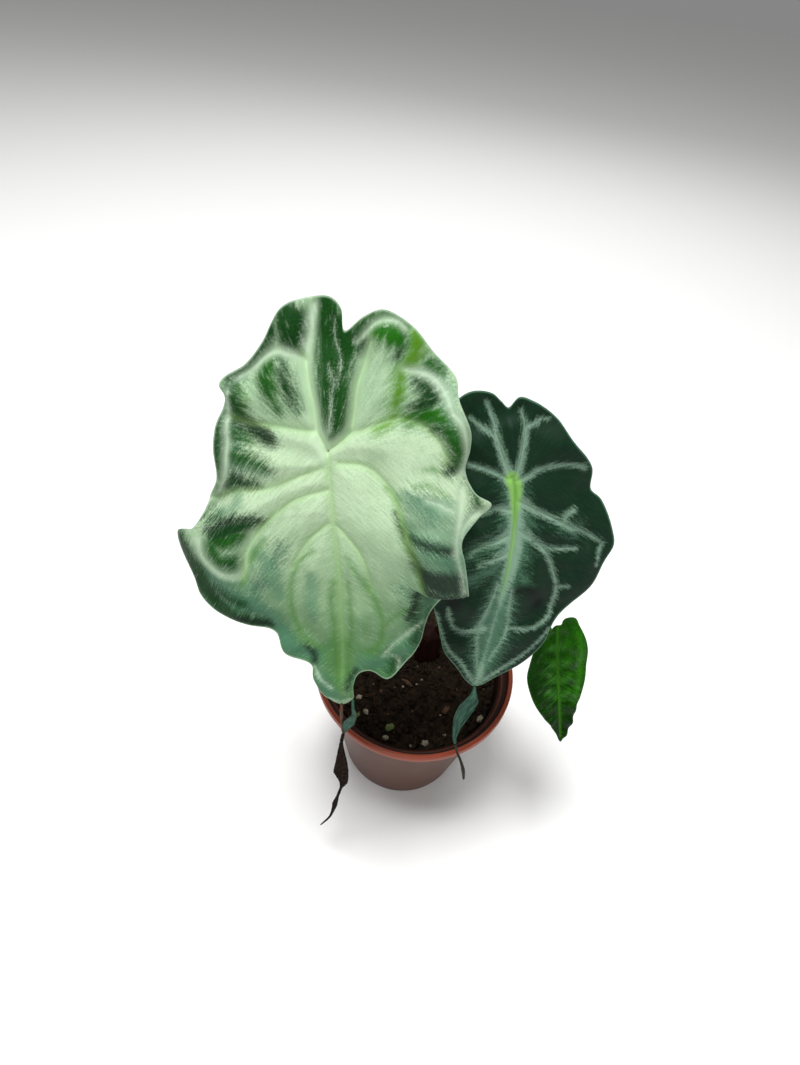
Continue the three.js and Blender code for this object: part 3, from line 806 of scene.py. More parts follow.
LARGE_BLADE = Blade(
    name="large_leaf_veined_blade", slot="pale_leaf", node="large_leaf_blade", finish=PALE_FINISH,
    junction=(-25.2, -9.9, 135.0), hangs_towards=(-16.6, -37.0, 88.0), faces=(-0.12, -0.86, 0.5),
    centre=(-1.0, -12.0),
    outline=(
        (4.5, 21.7), (8.5, 24), (12, 24.9), (17, 21.9), (20.5, 17.4), (24.5, 12.6), (25, 9),
        (27.2, 3), (27, -0.5), (26, -4.7), (28, -8.7), (31, -10.8), (28.5, -13.7), (25.5, -17.7),
        (26, -22), (26.5, -27.5), (24.5, -31.5), (20.5, -34), (18, -36), (17, -38.5), (16, -42),
        (13.3, -46.2), (8.5, -51.3), (4.7, -48.9), (2.3, -49.7), (0.9, -52.6), (0.3, -56.8),
        (-2.6, -58.8), (-6.5, -55.8), (-8, -51.3), (-8.3, -47.7), (-11, -46.8), (-14.2, -45.3),
        (-16.3, -40.5), (-22.5, -38.6), (-30.5, -36), (-33.5, -32.5), (-34, -28.4), (-35.6, -22),
        (-35.3, -17), (-30.5, -15.8), (-28.6, -13), (-27.5, -9.7), (-24, -5), (-23.3, 0.5),
        (-22, 6), (-19.4, 11), (-20, 13), (-18.8, 14.6), (-15, 16.7), (-11, 20.6), (-7, 26),
        (-3, 27.6), (2.2, 27.6), (4.2, 25.5),
    ),
    bow_across=0.005, bow_along=0.0022, bow_middle=0.0, puff=1.2, puff_radius=3.0,
    bumps=(
        (19, -18, 8, 5), (-31, -18, 5, 3), (-26, -11, 4, -2.5), (-20, 13, 3, 2), (-24, -24, 7, 2),
        (2.5, 19, 5, -2), (12, 21, 5, 1.5), (22, 14, 5, -2), (24, 4, 5, 2), (27, -4, 3, -2),
        (31, -10, 3, 2), (10, -46, 6, -2), (-14, -40, 5, -2), (-22, 2, 4, 1.5), (-2, -54, 4, 1.5),
    ),
    ribs=(
        ((0, 0), (0.2, -13), (0.6, -28), (-1.5, -56)),
        ((0, 0), (-2.1, 7), (-3.2, 17.5), (-0.7, 26)), ((-3.2, 17), (-8.8, 18.5), (-16.5, 14)),
        ((0, 0), (5, 5), (6.5, 12.5), (9.8, 21.5), (14.5, 22.5)),
        ((-2.7, 4), (-9.6, 5), (-18.6, 7.3)), ((-1.5, -1.6), (-9, 0.7), (-20, 1.7)),
        ((-1, -3.8), (-13, -7), (-24, -9)), ((-0.8, -7.6), (-7, -9.3), (-17, -17.5), (-20, -27)),
        ((-1, -14), (-8.7, -23), (-10, -34), (-5, -43)), ((4.6, 3.4), (14.3, 6), (21.5, 1.3)),
        ((2, -1.6), (7.5, -2.8), (13.6, -12), (17.9, -27)), ((1.2, -15), (7.3, -28), (8.6, -40)),
    ),
    shelf=(14.0, 20.0, -28.0, 4.0, 6.0), tuck=(14.0, 19.0, -28.6, 2.2, 3.2),
    fine_bumps=(
        (21.5, -21, 5, 2.2), (25, -25, 3.5, 1), (18, -9.5, 3, 1), (15.5, -16, 2.2, -1),
        (16.8, -22.5, 2.2, -1.2), (-23, -16, 3.5, 1.2), (-22.5, -22.5, 2.5, 0.8),
        (-17, 10, 2.5, 0.9), (-15.5, 4.2, 2.2, -0.8), (-17, -1, 2.4, 0.8), (-20, -6, 2.2, -0.8),
        (-10, 14, 3, 1), (19, 9.5, 3, 1), (18.5, 6, 2.2, -0.6), (24.5, 1, 2.2, 0.8),
        (13, 21, 2.6, 0.9), (-5, 23, 2.5, 0.6), (22, -12.5, 2.2, 0.9), (19, -15, 2.2, -0.8),
        (-13.5, -43.5, 2.2, 0.9), (-10, -45.5, 1.8, -0.9), (-18, -37.5, 2.4, -0.8),
        (-24, -35.5, 2.4, 0.9), (-29, -33, 2.2, -0.8), (12.5, -43, 2, 0.9), (9, -47.5, 2, -0.8),
        (15, -38, 2, -0.8), (5, -46, 1.8, 0.7), (-6.5, -51, 1.8, 0.8), (-4.5, -23, 3, 0.5),
        (4.5, -24, 3, 0.6), (4, -35, 2.6, 0.5), (-5.5, -34, 3, 0.6), (-15, -26, 3.2, 0.7),
        (12, -30, 3, 0.7), (8, -16, 3, 0.5), (-10, -2.5, 2.2, 0.6), (10, 1.5, 2.6, 0.6),
    ),
    patches=(
        Patch(0.2, ((-5.8, 25.2, 2.2), (-5.2, 23.2, 2.6), (-5.2, 21.2, 2.4), (-4.6, 19.2, 1))),
        Patch(0.1, ((-8.5, 23, 0.9), (-12, 18.9, 0.9), (-15.5, 16.2, 0.7), (-18.5, 14.3, 0.5))),
        Patch(0.2, ((-20.3, 9.5, 0.7), (-21.3, 5.5, 0.8), (-22.3, 1.5, 0.9), (-23, -3, 0.8))),
        Patch(0.2, ((-24.8, -7.2, 0.6), (-27, -10.4, 0.5), (-29, -13.6, 0.6))),
        Patch(0.3, ((1.6, 26.4, 2), (2, 23.3, 2.7), (3.1, 20.1, 3.9), (2.5, 16.4, 3.5),
            (2.2, 12.4, 2.9), (2, 8.4, 2.6), (1.8, 5.3, 2), (1.2, 2.9, 0.6))),
        Patch(0.3, ((5.9, 20.4, 1.3), (7.7, 22.5, 1), (9.9, 24, 0.6), (12.4, 24.5, 0.5),
            (14.8, 23.7, 0.6), (16.3, 22.1, 0.7))),
        Patch(0.1, ((8.1, 19.8, 1), (6.9, 18.3, 0.9))),
        Patch(1, ((10.5, 21, 1), (12.6, 21.2, 1.9), (14.1, 20.3, 1.8), (15, 19.1, 1))),
        Patch(0, ((15.6, 21.2, 0.6), (15.2, 18.9, 0.6), (14.4, 17, 0.4))),
        Patch(1.8, ((16.9, 21.2, 0.9), (17.7, 18.6, 1.1), (16.4, 16.1, 1.1), (14.6, 13.6, 0.7),
            (14.2, 10.9, 0.9), (13.4, 8, 0.5), (12.5, 5.5, 0.3), (10.2, 3.7, 0.3))),
        Patch(0.7, ((19.7, 15.4, 0.6), (21.3, 13.8, 0.5))),
        Patch(0.1, ((17.1, 12.8, 0.6), (18.7, 11.2, 1.4), (20.2, 9.2, 1.4), (18.7, 8.3, 1.3),
            (16.4, 7.3, 0.7))),
        Patch(1, ((15.7, 5.9, 1.1), (18.4, 6.3, 1.6), (20.9, 6.2, 1.4), (22.5, 5.2, 0.7))),
        Patch(0.2, ((20.4, 3.9, 0.5), (22.3, 3.8, 0.6))),
        Patch(0.6, ((22, 4.1, 0.5), (23.6, 2.6, 1.2), (24.8, 0.3, 1.4), (24.9, -2.3, 1.3),
            (23.7, -4.1, 0.5))),
        Patch(0.3, ((26.7, 3.6, 0.3), (26.9, -0.2, 0.3), (26.4, -4.2, 0.4), (27.2, -7, 0.6),
            (28.2, -9, 0.6), (28.2, -10.8, 0.4))),
        Patch(0.1, ((-8.3, 16.9, 0.4), (-7.4, 14.6, 0.7), (-6.8, 12.1, 1), (-5.9, 9.6, 0.6),
            (-5.1, 8.3, 0.2))),
        Patch(0.6, ((-9.2, 16.6, 0.5), (-10.3, 14.6, 1.4), (-10.4, 12.6, 1.4), (-9.7, 10.2, 0.9),
            (-8.8, 8.1, 0.3))),
        Patch(0.3, ((-17.7, 12.1, 0.7), (-17.5, 9.9, 1.2), (-17.1, 7.9, 1.1), (-16.1, 6.5, 0.4))),
        Patch(0.1, ((-18.9, 5.8, 0.4), (-16.5, 4.8, 0.9), (-13.8, 3.7, 1.1), (-12, 2.5, 0.9),
            (-10.7, 1.8, 0.3))),
        Patch(0.6, ((-18.7, 3.6, 0.5), (-16.9, 2.9, 0.6), (-15.4, 2.2, 0.4))),
        Patch(0.4, ((-19.5, -0.6, 0.7), (-17, -1.1, 1.1), (-14.3, -2, 0.8), (-11.9, -3.2, 0.3))),
        Patch(0.1, ((-24.1, -7.6, 0.6), (-20.7, -5.9, 1.2), (-18.1, -6.2, 1), (-15.3, -6.3, 0.4))),
        Patch(0.2, ((-21.1, 5.1, 0.3), (-22, 1.9, 0.5), (-22.7, -1.5, 0.5), (-23.5, -5.4, 0.4))),
        Patch(0.2, ((-27.3, -14.1, 0.3), (-24, -14, 0.3))),
        Patch(0.1, ((-15.2, -14.1, 0.3), (-19.1, -15.1, 1.3), (-22.7, -16.1, 2),
            (-25.2, -17.5, 1.6))),
        Patch(0.55, ((-20, -16.9, 1.1), (-23.1, -18.1, 1.8), (-26, -18.5, 0.9),
            (-26.3, -20.2, 0.7))),
        Patch(0.3, ((-20.3, -21.8, 0.4), (-22.5, -22.7, 1.3), (-24.4, -22.6, 0.9))),
        Patch(0.1, ((-34.2, -17.6, 1.1), (-33.4, -20.5, 1.8), (-32.9, -24, 2.1), (-32, -28.1, 2.3),
            (-30.6, -31.6, 2.2), (-28.3, -34.4, 2), (-25.6, -36.2, 1.7), (-22.4, -37.2, 1.4),
            (-18.7, -38.4, 1))),
        Patch(0.1, ((-29.3, -29.7, 0.5), (-25.5, -32.1, 0.6), (-22, -33.1, 0.6))),
        # painted shadow: the dark pocket under the ruffle's hem
        Patch(0, ((16.6, -29.6, 0.4), (19, -30.6, 1.6), (22, -30.6, 2.2), (26, -29.5, 2.2))),
        Patch(0.5, ((-26.2, -18.9, 0.9), (-25.8, -21, 1.1), (-24.4, -22.7, 1.2))),
        Patch(0.2, ((-4.2, 24.8, 1.6), (-3.9, 21.6, 1.4), (-6.3, 20.6, 1.2))),
        Patch(0.1, ((14.9, -34, 0.5), (15.6, -38.2, 0.5), (15, -40.8, 0.8))),
        Patch(0.1, ((10.5, -47.3, 0.9), (9.5, -49.1, 0.5))),
        Patch(0.1, ((18, -36, 0.3), (16.8, -39.1, 0.4), (15.6, -42.7, 0.3))),
    ),
    # soft strokes: wide darker green, partly the blade's own tone and partly painted shade on the outer
    # lower lobes and the ruffle's lower part
    soft=(
        ((-19.3, -32.7, 1.8), (-15.7, -39.3, 2), (-12.1, -44, 1.6), (-7.8, -45.1, 1.4)),
        ((-29.5, -25.5, 1.2), (-27, -29.5, 1.8), (-22, -33, 1.8), (-17, -36.5, 1.5)),
        ((-14.5, 18, 1), (-17.8, 13, 1.2), (-18.5, 8, 1.6), (-19, 2, 1.6), (-20, -4, 1.6)),
        ((20, 14, 1.2), (22.5, 9, 1.4), (24, 3, 1.2)), ((-5.9, -51.5, 1.1), (-5.2, -55.3, 1.1)),
        ((5.1, -47.4, 1.2), (9.5, -48.8, 0.9), (13.6, -43.2, 0.6)),
        ((17.1, -9.1, 1), (19, -10.2, 1.2), (20.1, -12.4, 1)),
        ((16.6, -16.6, 0.7), (20.8, -18.7, 1.2), (23.9, -21.5, 1.1)),
        ((17.9, -21.7, 0.7), (20.9, -25, 1.3), (24.6, -27.2, 1.2)),
        ((-25.9, -14.6, 0.4), (-22.8, -15.6, 0.5)),
        ((13.5, -28, 0.5), (15.5, -30.4, 0.9), (17.6, -33.3, 0.5)),
        ((26.2, -14, 0.3), (26, -20, 0.8), (26.2, -26, 1)),
        ((-10.8, -19.2, 0.5), (-15.1, -25.7, 0.9), (-18.7, -29.9, 1)),
    ),
    leafy=(
        ((11.2, -7.3, 0.4), (12.7, -9.5, 0.5), (13.7, -12.6, 0.5), (14.7, -15.6, 0.6),
         (16.3, -18.8, 0.6), (17.6, -23.1, 0.5), (17.9, -26.3, 0.3)),
        ((-1, -27, 0.5), (-1.8, -30.7, 0.5), (-1.9, -36.8, 0.5), (-2.3, -43.2, 0.6),
         (-2.4, -49.7, 0.7), (-2, -53.7, 0.6)),
        ((2.2, -26.9, 0.3), (2.2, -32.7, 0.4), (2.2, -36.8, 0.5), (1.2, -42, 0.5),
         (0.6, -45.7, 0.5), (-0.9, -51.9, 0.3)),
        ((-4.5, -20, 0.2), (-8.2, -23.2, 0.4), (-10.6, -29.4, 0.6), (-11, -34.9, 0.6),
         (-9.7, -40.2, 0.5), (-7.5, -42.3, 0.4), (-5.8, -43.5, 0.2)),
        ((2.4, -21, 0.2), (4.7, -25.7, 0.4), (7.1, -30.4, 0.6), (8.4, -35.7, 0.5),
         (8.1, -39.3, 0.5), (6.8, -42.7, 0.5), (4.5, -44, 0.3)),
        ((-14.7, -18.1, 0.4), (-17.4, -21.2, 0.6), (-19.2, -23.8, 0.6), (-21.3, -28.1, 0.5)),
        ((14, -17, 0.4), (15.6, -19.2, 0.6), (16.7, -21.9, 0.6), (17.8, -27.6, 0.4)),
        ((8.5, -37.8, 0.4), (12.1, -34, 0.4), (15.2, -32.7, 0.3)),
        ((18.6, -3.8, 0.3), (20.5, -3.8, 0.5), (22, -4.6, 0.3)),
        ((16.7, -6.9, 0.2), (18.6, -6.6, 0.4), (21.1, -8, 0.4), (22.6, -9, 0.2)),
        ((-10.8, 16.5, 0.5), (-9.5, 13.9, 0.7), (-8.9, 11.3, 0.5)),
        ((-16.8, 11.9, 0.6), (-15, 10.1, 0.6), (-16.5, 8.3, 0.6)),
    ),
    # blue-green strokes, partly the blade's own tone and partly painted shade in the ruffle's folds and on
    # the frilled margins
    teal_tone_and_shade=(
        ((14.8, -12.6, 0.6), (19, -13.4, 1), (23.6, -13.8, 0.7)),
        ((15.6, -10.9, 1.3), (19, -12.1, 1.9), (22.8, -12.4, 1.5)),
        ((16.2, -16, 1.3), (20, -16.6, 1.9), (23.8, -17.6, 1.4)),
        ((-6, -45.5, 0.6), (-6.6, -50, 1.2), (-5.4, -54.5, 1.4), (-3, -57.2, 0.8)),
        ((3.4, -44.5, 0.6), (2.6, -48.5, 0.9), (1.2, -52, 0.6)),
        ((-22.3, -31, 1), (-19.1, -32.9, 1.2), (-16.1, -34.9, 1.4), (-14.6, -39.3, 1.6),
         (-13.3, -42.8, 1.6), (-9.7, -45, 1.4), (-7, -45.1, 1.2)),
        ((-18.4, -20.5, 1.2), (-14.7, -22.4, 1.4), (-13.8, -26.8, 1.4), (-13, -30.5, 1.2)),
        ((-5.3, -25.7, 1.2), (-5.8, -30, 1.4), (-6.1, -35, 1.2)),
        ((-6.7, -49, 1), (-5, -52.2, 1.2), (-2.8, -56.7, 1.4)),
        ((4.3, -46.2, 1.4), (7.8, -46.6, 1.6), (11.4, -42.9, 2), (15.2, -39.3, 2),
         (16.5, -36.4, 1.8), (17.8, -35.2, 1.6)),
        ((14.4, -8.8, 1.4), (16.4, -10, 1.8), (19.3, -10.6, 1.8), (22.6, -10.5, 1.4)),
        ((14.7, -13.8, 1.4), (17.4, -14.4, 1.4), (21.2, -14.8, 1.4), (23.6, -16.4, 1.4)),
        ((18.6, -19.2, 1.8), (21.3, -21.2, 2), (23.7, -22.9, 1.6)),
        ((26.3, -16.3, 1.2), (25.6, -21, 1.1), (26, -24.7, 1.1)),
        ((-22.2, -6.3, 1.2), (-20, -9.3, 1.4), (-21.3, -11.8, 1.2), (-25.3, -13.2, 1)),
        ((-18.4, -1.7, 1.2), (-15.4, -3.1, 1.4), (-13, -4.1, 1)),
        ((-18.5, 11.6, 1), (-21.1, 7.5, 1), (-21.5, 3, 1), (-22.6, -2.2, 1)),
    ),
    shadow=(
        ((15.7, -16.5, 0.5), (18.1, -17.3, 0.8), (20.6, -17.8, 0.9), (23.2, -18.8, 0.8)),
        ((16.1, -21.8, 0.7), (18.1, -23.6, 1.4), (21, -24.2, 1.8), (24.2, -24.6, 1.6)),
        ((18.2, -25.4, 0.8), (20.6, -26.5, 1.1), (23.3, -27, 1.4), (25.4, -27, 1.1)),
        ((12.7, -12, 0.3), (14.4, -16.3, 0.5), (16.8, -21.4, 0.6), (17.7, -25.3, 0.7)),
        ((16.3, -29.7, 0.6), (15.2, -32.7, 0.7), (14.5, -34.4, 0.6)),
        ((22.9, -3.1, 0.8), (23.5, -4.2, 0.8), (22.6, -4.4, 0.5)),
        ((-18.8, 6.5, 0.6), (-15.8, 5.4, 0.8), (-12.8, 4.2, 0.8), (-10.9, 2.8, 0.6)),
        ((-27, -16.2, 0.6), (-22.5, -14.3, 0.6), (-17.4, -13.5, 0.6), (-15.2, -14, 0.5)),
        ((-23.7, -36.9, 0.8), (-19.9, -37.8, 0.7), (-16.7, -38.8, 0.6)),
        ((-8.8, -43.2, 0.5), (-7.3, -44.7, 0.8), (-7.1, -46.4, 0.7)),
        ((16.3, -31.2, 0.3), (15.2, -33.1, 0.5), (13.9, -35.4, 0.3)),
        ((1.9, -48.6, 0.6), (0.2, -51.2, 0.6), (-0.6, -53.9, 0.5)),
    ),
    pale=(
        ((1.2, 1, 0.7), (4.4, 3.5, 0.5), (5.5, 7.5, 0.5), (6.4, 12.3, 0.5), (8, 16.5, 0.4),
         (9.2, 19.5, 0.3)),
        ((-4.9, -57, 0.1), (-2.6, -58.2, 0.3), (-0.3, -57, 0.2)),
        ((6.8, 19.9, 0.3), (8.9, 21.6, 0.3), (10.3, 22.6, 0.4), (12.3, 23, 0.4), (14.3, 22.7, 0.4),
         (15.6, 21.4, 0.3)),
        ((15.4, 14.6, 0.4), (17.5, 14.1, 0.6), (19.9, 13, 0.7), (21.7, 11, 0.7), (23, 8.7, 0.7),
         (24, 6.3, 0.5)),
        ((24, 6.3, 0.5), (25.7, 4.2, 0.3), (26.3, -0.1, 0.3), (25.4, -4.7, 0.4)),
        ((-29.1, -18, 0.4), (-29.3, -22.4, 0.6), (-26.9, -25.3, 0.7), (-22.5, -26.5, 0.7),
         (-20.3, -24.7, 0.6), (-19.6, -21.5, 0.5), (-17.1, -16.7, 0.4)),
        ((-18.6, 11.8, 0.4), (-20, 7.2, 0.5), (-20.3, 3, 0.5), (-21, -1.5, 0.5), (-22.9, -6, 0.4),
         (-28.2, -10.9, 0.5)),
        ((-0.9, 26.5, 0.6), (-2.1, 22, 0.7), (-3.2, 18, 0.8), (-3, 13.1, 0.8), (-2, 8.5, 0.8),
         (-1.9, 3.8, 0.9), (-0.4, -0.1, 1.2)),
        ((-3.5, 16.8, 0.5), (-4.9, 18, 0.6), (-7, 18.6, 0.6), (-9.3, 18.7, 0.5), (-13.5, 15.9, 0.4),
         (-17, 14.1, 0.3)),
        ((25.5, -7.7, 0.1), (25.2, -10.8, 0.2), (24.8, -14.1, 0.2), (24.3, -17.9, 0.2),
         (24.7, -21.5, 0.1), (25.4, -24.3, 0.1), (25.6, -25.9, 0.1)),
        ((18.9, -9.4, 0.1), (21.4, -10.5, 0.1), (23.6, -11.9, 0.1)),
        ((28.8, -12.1, 0.1), (26.6, -13.8, 0.2), (25.6, -15.8, 0.2), (25.4, -18.1, 0.1)),
        ((7.9, -45.3, 0.1), (10.7, -42, 0.1), (13.1, -39.5, 0.2), (16.2, -37.4, 0.1)),
        ((9, -45.4, 0.1), (11.1, -45.9, 0.1), (10.9, -48.8, 0.1)),
        ((-7.4, -48.2, 0.1), (-6.1, -51.1, 0.2), (-4.3, -53.4, 0.1)),
        ((2.8, 24, -0.3), (2.6, 20.5, -0.1), (3.5, 16.5, -0.1), (2.6, 12, -0.2)),
        ((1.3, 16, -0.3), (1.9, 12.5, -0.2), (1.6, 8, 0), (0.9, 4, 0.1)),
    ),
    cores=(
        ((-3.7, 18, 0.2), (-2.9, 13.1, 0.3), (-2.1, 7.4, 0.3), (-1.8, 3.5, 0.3), (0, 0, 0.5),
         (0, -4.9, 0.5), (0.2, -13.3, 0.5), (0.3, -19.3, 0.4), (0.2, -28.7, 0.5),
         (-0.8, -42.5, 0.3), (-1.7, -50.3, 0.1)),
        ((0, 0, 0.4), (4.6, 3.1, 0.4), (5.6, 7.2, 0.3), (6.5, 12.3, 0.3), (8.5, 16.7, 0.3),
         (9.8, 20.5, 0.2)),
        ((-2.8, 3.8, 0.3), (-9.8, 4.9, 0.2), (-15.6, 5.9, 0.2), (-19.4, 6.9, 0.2)),
        ((-1.3, -3.2, 0.3), (-6.6, -4.9, 0.3), (-13.5, -7.5, 0.3), (-20, -8.1, 0.3),
         (-26.4, -10.1, 0.2)),
        ((-0.8, -7.6, 0.3), (-7.1, -9.4, 0.3), (-11.6, -12.4, 0.4), (-17.3, -17.7, 0.4),
         (-19.7, -22.8, 0.5), (-20.7, -26.7, 0.4)),
        ((-1.1, -14.5, 0.2), (-5.6, -18.1, 0.1), (-9.3, -23.9, 0)),
        ((2.1, -2.4, 0.3), (7.4, -3.1, 0.3), (11.6, -7.2, 0.4), (13.5, -10.9, 0.4),
         (14.6, -15.5, 0.3), (16.3, -21.2, 0.2), (17.4, -26, 0)),
        ((1.1, -15.1, 0.2), (5.3, -20.9, 0.1), (6.9, -28.6, 0)),
        ((4.6, 3.2, 0.2), (11, 4.9, 0.2), (14.1, 5.8, 0.2), (18.3, 4.3, 0.2), (21.4, 1.1, 0.2),
         (22.6, -2.6, 0.2)),
    ),
    nerve_slope=0.62, nerve_curve=0.014, core_feather=1.0, core_grow=0.35, patch_feather=1.9,
    pale_feather=1.05, patch_grow=0.5, wash_feather=1.0, groove_depth=0.42, groove_width=0.7,
)

DARK_BLADE = Blade(
    name="dark_leaf_veined_blade", slot="dark_leaf", node="dark_leaf_blade", finish=DARK_FINISH,
    junction=(12.5, -2.3, 128.2), hangs_towards=(12.0, -27.0, 85.5), faces=(0.05, -0.86, 0.5),
    centre=(2.0, -14.0),
    outline=(
        (-3.4, 13.8), (-1.7, 16.1), (1, 15.8), (6.2, 13.3), (10.2, 9.1), (15.8, 4.1), (17, -0.6),
        (19.5, -2.4), (22.8, -8.1), (24.3, -12), (23.1, -16.2), (21.8, -21.5), (18.7, -27.2),
        (15.7, -32.5), (14.3, -38), (10.7, -43.5), (5.3, -48.2), (1.1, -51.9), (-1.3, -50.2),
        (-4, -47), (-7.8, -43), (-10, -37.1), (-11.5, -33.2), (-14, -27), (-17, -18.5), (-18.5, -9),
        (-18, 0), (-17, 8), (-14.5, 13.5), (-11.5, 16), (-7.4, 16.2), (-5.2, 14.9),
    ),
    bow_across=0.004, bow_along=0.002, bow_middle=1.0, puff=0.9, puff_radius=2.6,
    bumps=(
        (-3.7, 13, 4, -1.5), (17, -1, 4, -1.5), (22, -10, 5, 1.5), (13.5, 8, 5, 1.5),
        (16, -28, 5, -1.5), (19, -20, 5, 1.2), (-10, -38, 5, -1.2), (0, -48, 4, 1),
    ),
    fine_bumps=(
        (15, -6, 2.6, 0.8), (17, -11.5, 2, -0.7), (19.5, -15.5, 2.2, 0.8), (16, -19, 2.2, -0.8),
        (9.5, -10.5, 2, 0.7), (9, -17.5, 2.4, 0.8), (8, -24, 2.6, 0.9), (11, -29, 2.2, -0.8),
        (15.5, -26, 2.2, 0.7), (7.5, -38, 2.6, 0.7), (-5, -12.5, 2, 0.6), (-6, -21, 2.6, 0.8),
        (-4, -30, 2.6, 0.7), (-5.5, -40.5, 2.2, 0.6), (8, 7.5, 2.8, 0.7), (-8, 6, 2.6, 0.6),
        (10, 0.5, 2.4, -0.6), (-2, 10, 1.8, 0.5), (-7, -4, 2.6, 0.6),
    ),
    ribs=(
        ((0, 0), (2.4, -13), (2, -30), (1, -51)), ((0, 0), (-4.3, 6.6), (-8, 14)),
        ((-5.5, 8), (-11, 11)), ((0, 0), (0.9, 5), (0.5, 10.4), (-1, 14)),
        ((0.5, 10.4), (4.3, 12.8)), ((-1.2, -0.6), (-9.7, 1.6), (-16, 1)),
        ((2.2, 0.3), (8.2, 3.7), (14, 4.1)), ((1.6, -5.3), (10.6, -8.1), (20.9, -11.4)),
        ((2.2, -12.1), (10, -14), (16, -13.6)),
        ((3, -13), (12.4, -19.4), (13.4, -29), (5.4, -33.6)), ((0, -7.3), (-7, -9.2), (-16, -12)),
        ((1, -13.2), (-6.5, -18), (-13, -24)), ((1, -34.8), (-5.3, -35.5), (-9, -30.7)),
    ),
    shadow=(
        ((4.9, -25.6, 0.7), (7.1, -24, 1), (9.9, -25.8, 1.3), (11.4, -28.6, 0.8)),
        ((-13, -13, 1.5), (-11.5, -19, 2.4), (-9.5, -26, 2.4), (-7.5, -31, 1.2)),
    ),
    soft=(
        ((0, -1, 1.6), (1.7, -7, 2.6), (2.6, -12.4, 3.4), (2.8, -18, 3), (2.6, -25, 2.2),
         (2.2, -33, 3.6), (1.9, -41, 3.2), (1.4, -47, 2), (1.2, -51, 1)),
        ((0.5, -13, 1.2), (-3.5, -16, 1.2), (-7, -19, 0.8)),
        ((1, -19, 1.2), (-3, -22, 1), (-7, -25.5, 0.5)), ((5, -20, 0.8), (6.5, -23, 0.6)),
        ((12.5, -8.5, 1.2), (15, -9.5, 1)),
    ),
    pale=(
        ((-7.9, 14.1, 0.4), (-6, 10.7, 0.5), (-5.1, 7.9, 0.7), (-3, 3.7, 0.8), (-0.8, -0.1, 1.1)),
        ((-10.9, 10.8, 0.3), (-8.1, 9.2, 0.5), (-5.8, 7.9, 0.4)),
        ((-0.8, 13.8, 0.2), (0.5, 10.6, 0.5), (0.8, 7.2, 0.7), (0.8, 3.7, 0.7), (0.4, 0.1, 0.9)),
        ((0.7, 10.5, 0.5), (2.2, 11.4, 0.5), (3.1, 12.5, 0.3), (4.9, 12.8, 0.2)),
        ((-9.6, 1.4, 0.4), (-6.8, 1.1, 0.5), (-3.9, 0.3, 0.6), (-0.7, -0.8, 0.8)),
        ((0.4, -0.9, 0.8), (2.7, 0.4, 0.6), (4.4, 2, 0.5), (8.2, 3.6, 0.4), (12.1, 4.2, 0.4),
         (14.1, 4, 0.5)),
        ((2.2, -4.9, 1.3), (5, -6.1, 0.8), (8.5, -7.3, 0.7), (11.9, -8.5, 0.6), (14, -9.3, 0.7),
         (17.5, -9.9, 0.4), (21, -11.3, 0.3)),
        ((13.1, -9, 0.5), (12.5, -6.8, 0.7), (13.5, -5.3, 0.6)),
        ((21.7, -11.6, 0.2), (21.1, -13.9, 0.3), (21.3, -16.7, 0.2)),
        ((3.4, -11.2, 1.2), (7, -13.1, 0.7), (9.9, -14.2, 0.4), (12.1, -14.3, 0.4),
         (16.3, -13.8, 0.3)),
        ((7, -13.3, 0.6), (9.6, -15.2, 0.4), (12, -18.7, 0.4), (14.2, -23.2, 0.4), (14.5, -28, 0.4),
         (14.4, -30.9, 0.3), (12.7, -32.9, 0.3), (9.9, -34.5, 0.3), (6.3, -34.7, 0.3)),
        ((14.2, -23.2, 0.3), (16.6, -22.7, 0.2)),
        ((0, 0, 1.3), (0.8, -3, 1.4), (1.7, -7.1, 1.5), (2.6, -12.4, 1.8), (3, -16.8, 1.6),
         (2.9, -21.5, 1.3), (2.6, -26.3, 0.9), (2.3, -30, 0.3)),
        ((2.3, -30, 0.2), (2.1, -34.5, 0.2), (1.9, -39, 0.2), (1.6, -43, 0.3), (1.4, -46.5, 0.8),
         (1.2, -51.3, 0.6)),
        ((1, -24, 0.3), (0.2, -29, 0.3), (-0.8, -33.5, 0.4), (-1, -38, 0.3), (-0.2, -43, 0.3),
         (0.8, -48, 0.2)),
        ((4.4, -25, 0.3), (4.6, -29.5, 0.3), (5.2, -34.5, 0.3), (4.4, -39, 0.2), (2.9, -44, 0.2)),
        ((0.5, -7, 1.4), (-2.6, -7, 0.6), (-4.7, -8.2, 0.4), (-6.8, -9.6, 0.2)),
        ((1, -12.6, 1.4), (-1.2, -14.6, 0.7), (-3.9, -15.8, 0.3), (-6.1, -18.1, 0.2)),
        ((1.3, -17, 1.2), (-1.1, -18.5, 0.5), (-4, -20.1, 0.2)),
        ((-0.2, -35.7, 0.8), (-3.6, -37.1, 0.4), (-6.4, -36.9, 0.3), (-7.8, -34.5, 0.4),
         (-8.6, -32, 0.3)),
        ((-11.2, -33.2, 0.2), (-9.2, -38.3, 0.3), (-7, -42.2, 0.3), (-3.3, -45.4, 0.3),
         (-0.2, -49.7, 0.4)),
        ((14.9, -33.9, 0.2), (12.4, -38.2, 0.2), (9.3, -42.2, 0.3), (5, -46.8, 0.4),
         (1.9, -50.1, 0.5)),
    ),
    cores=(
        ((-0.4, -0.3, 1.4), (0.6, -2, 1.4), (1.4, -6.1, 0.9), (2, -10.3, 0.5), (2.4, -14.6, 0.4),
         (2.6, -20.3, 0.3), (2.4, -26.2, 0.1)),
    ),
    nerve_slope=0.3, nerve_curve=0.004, around=400, rings=84,
)

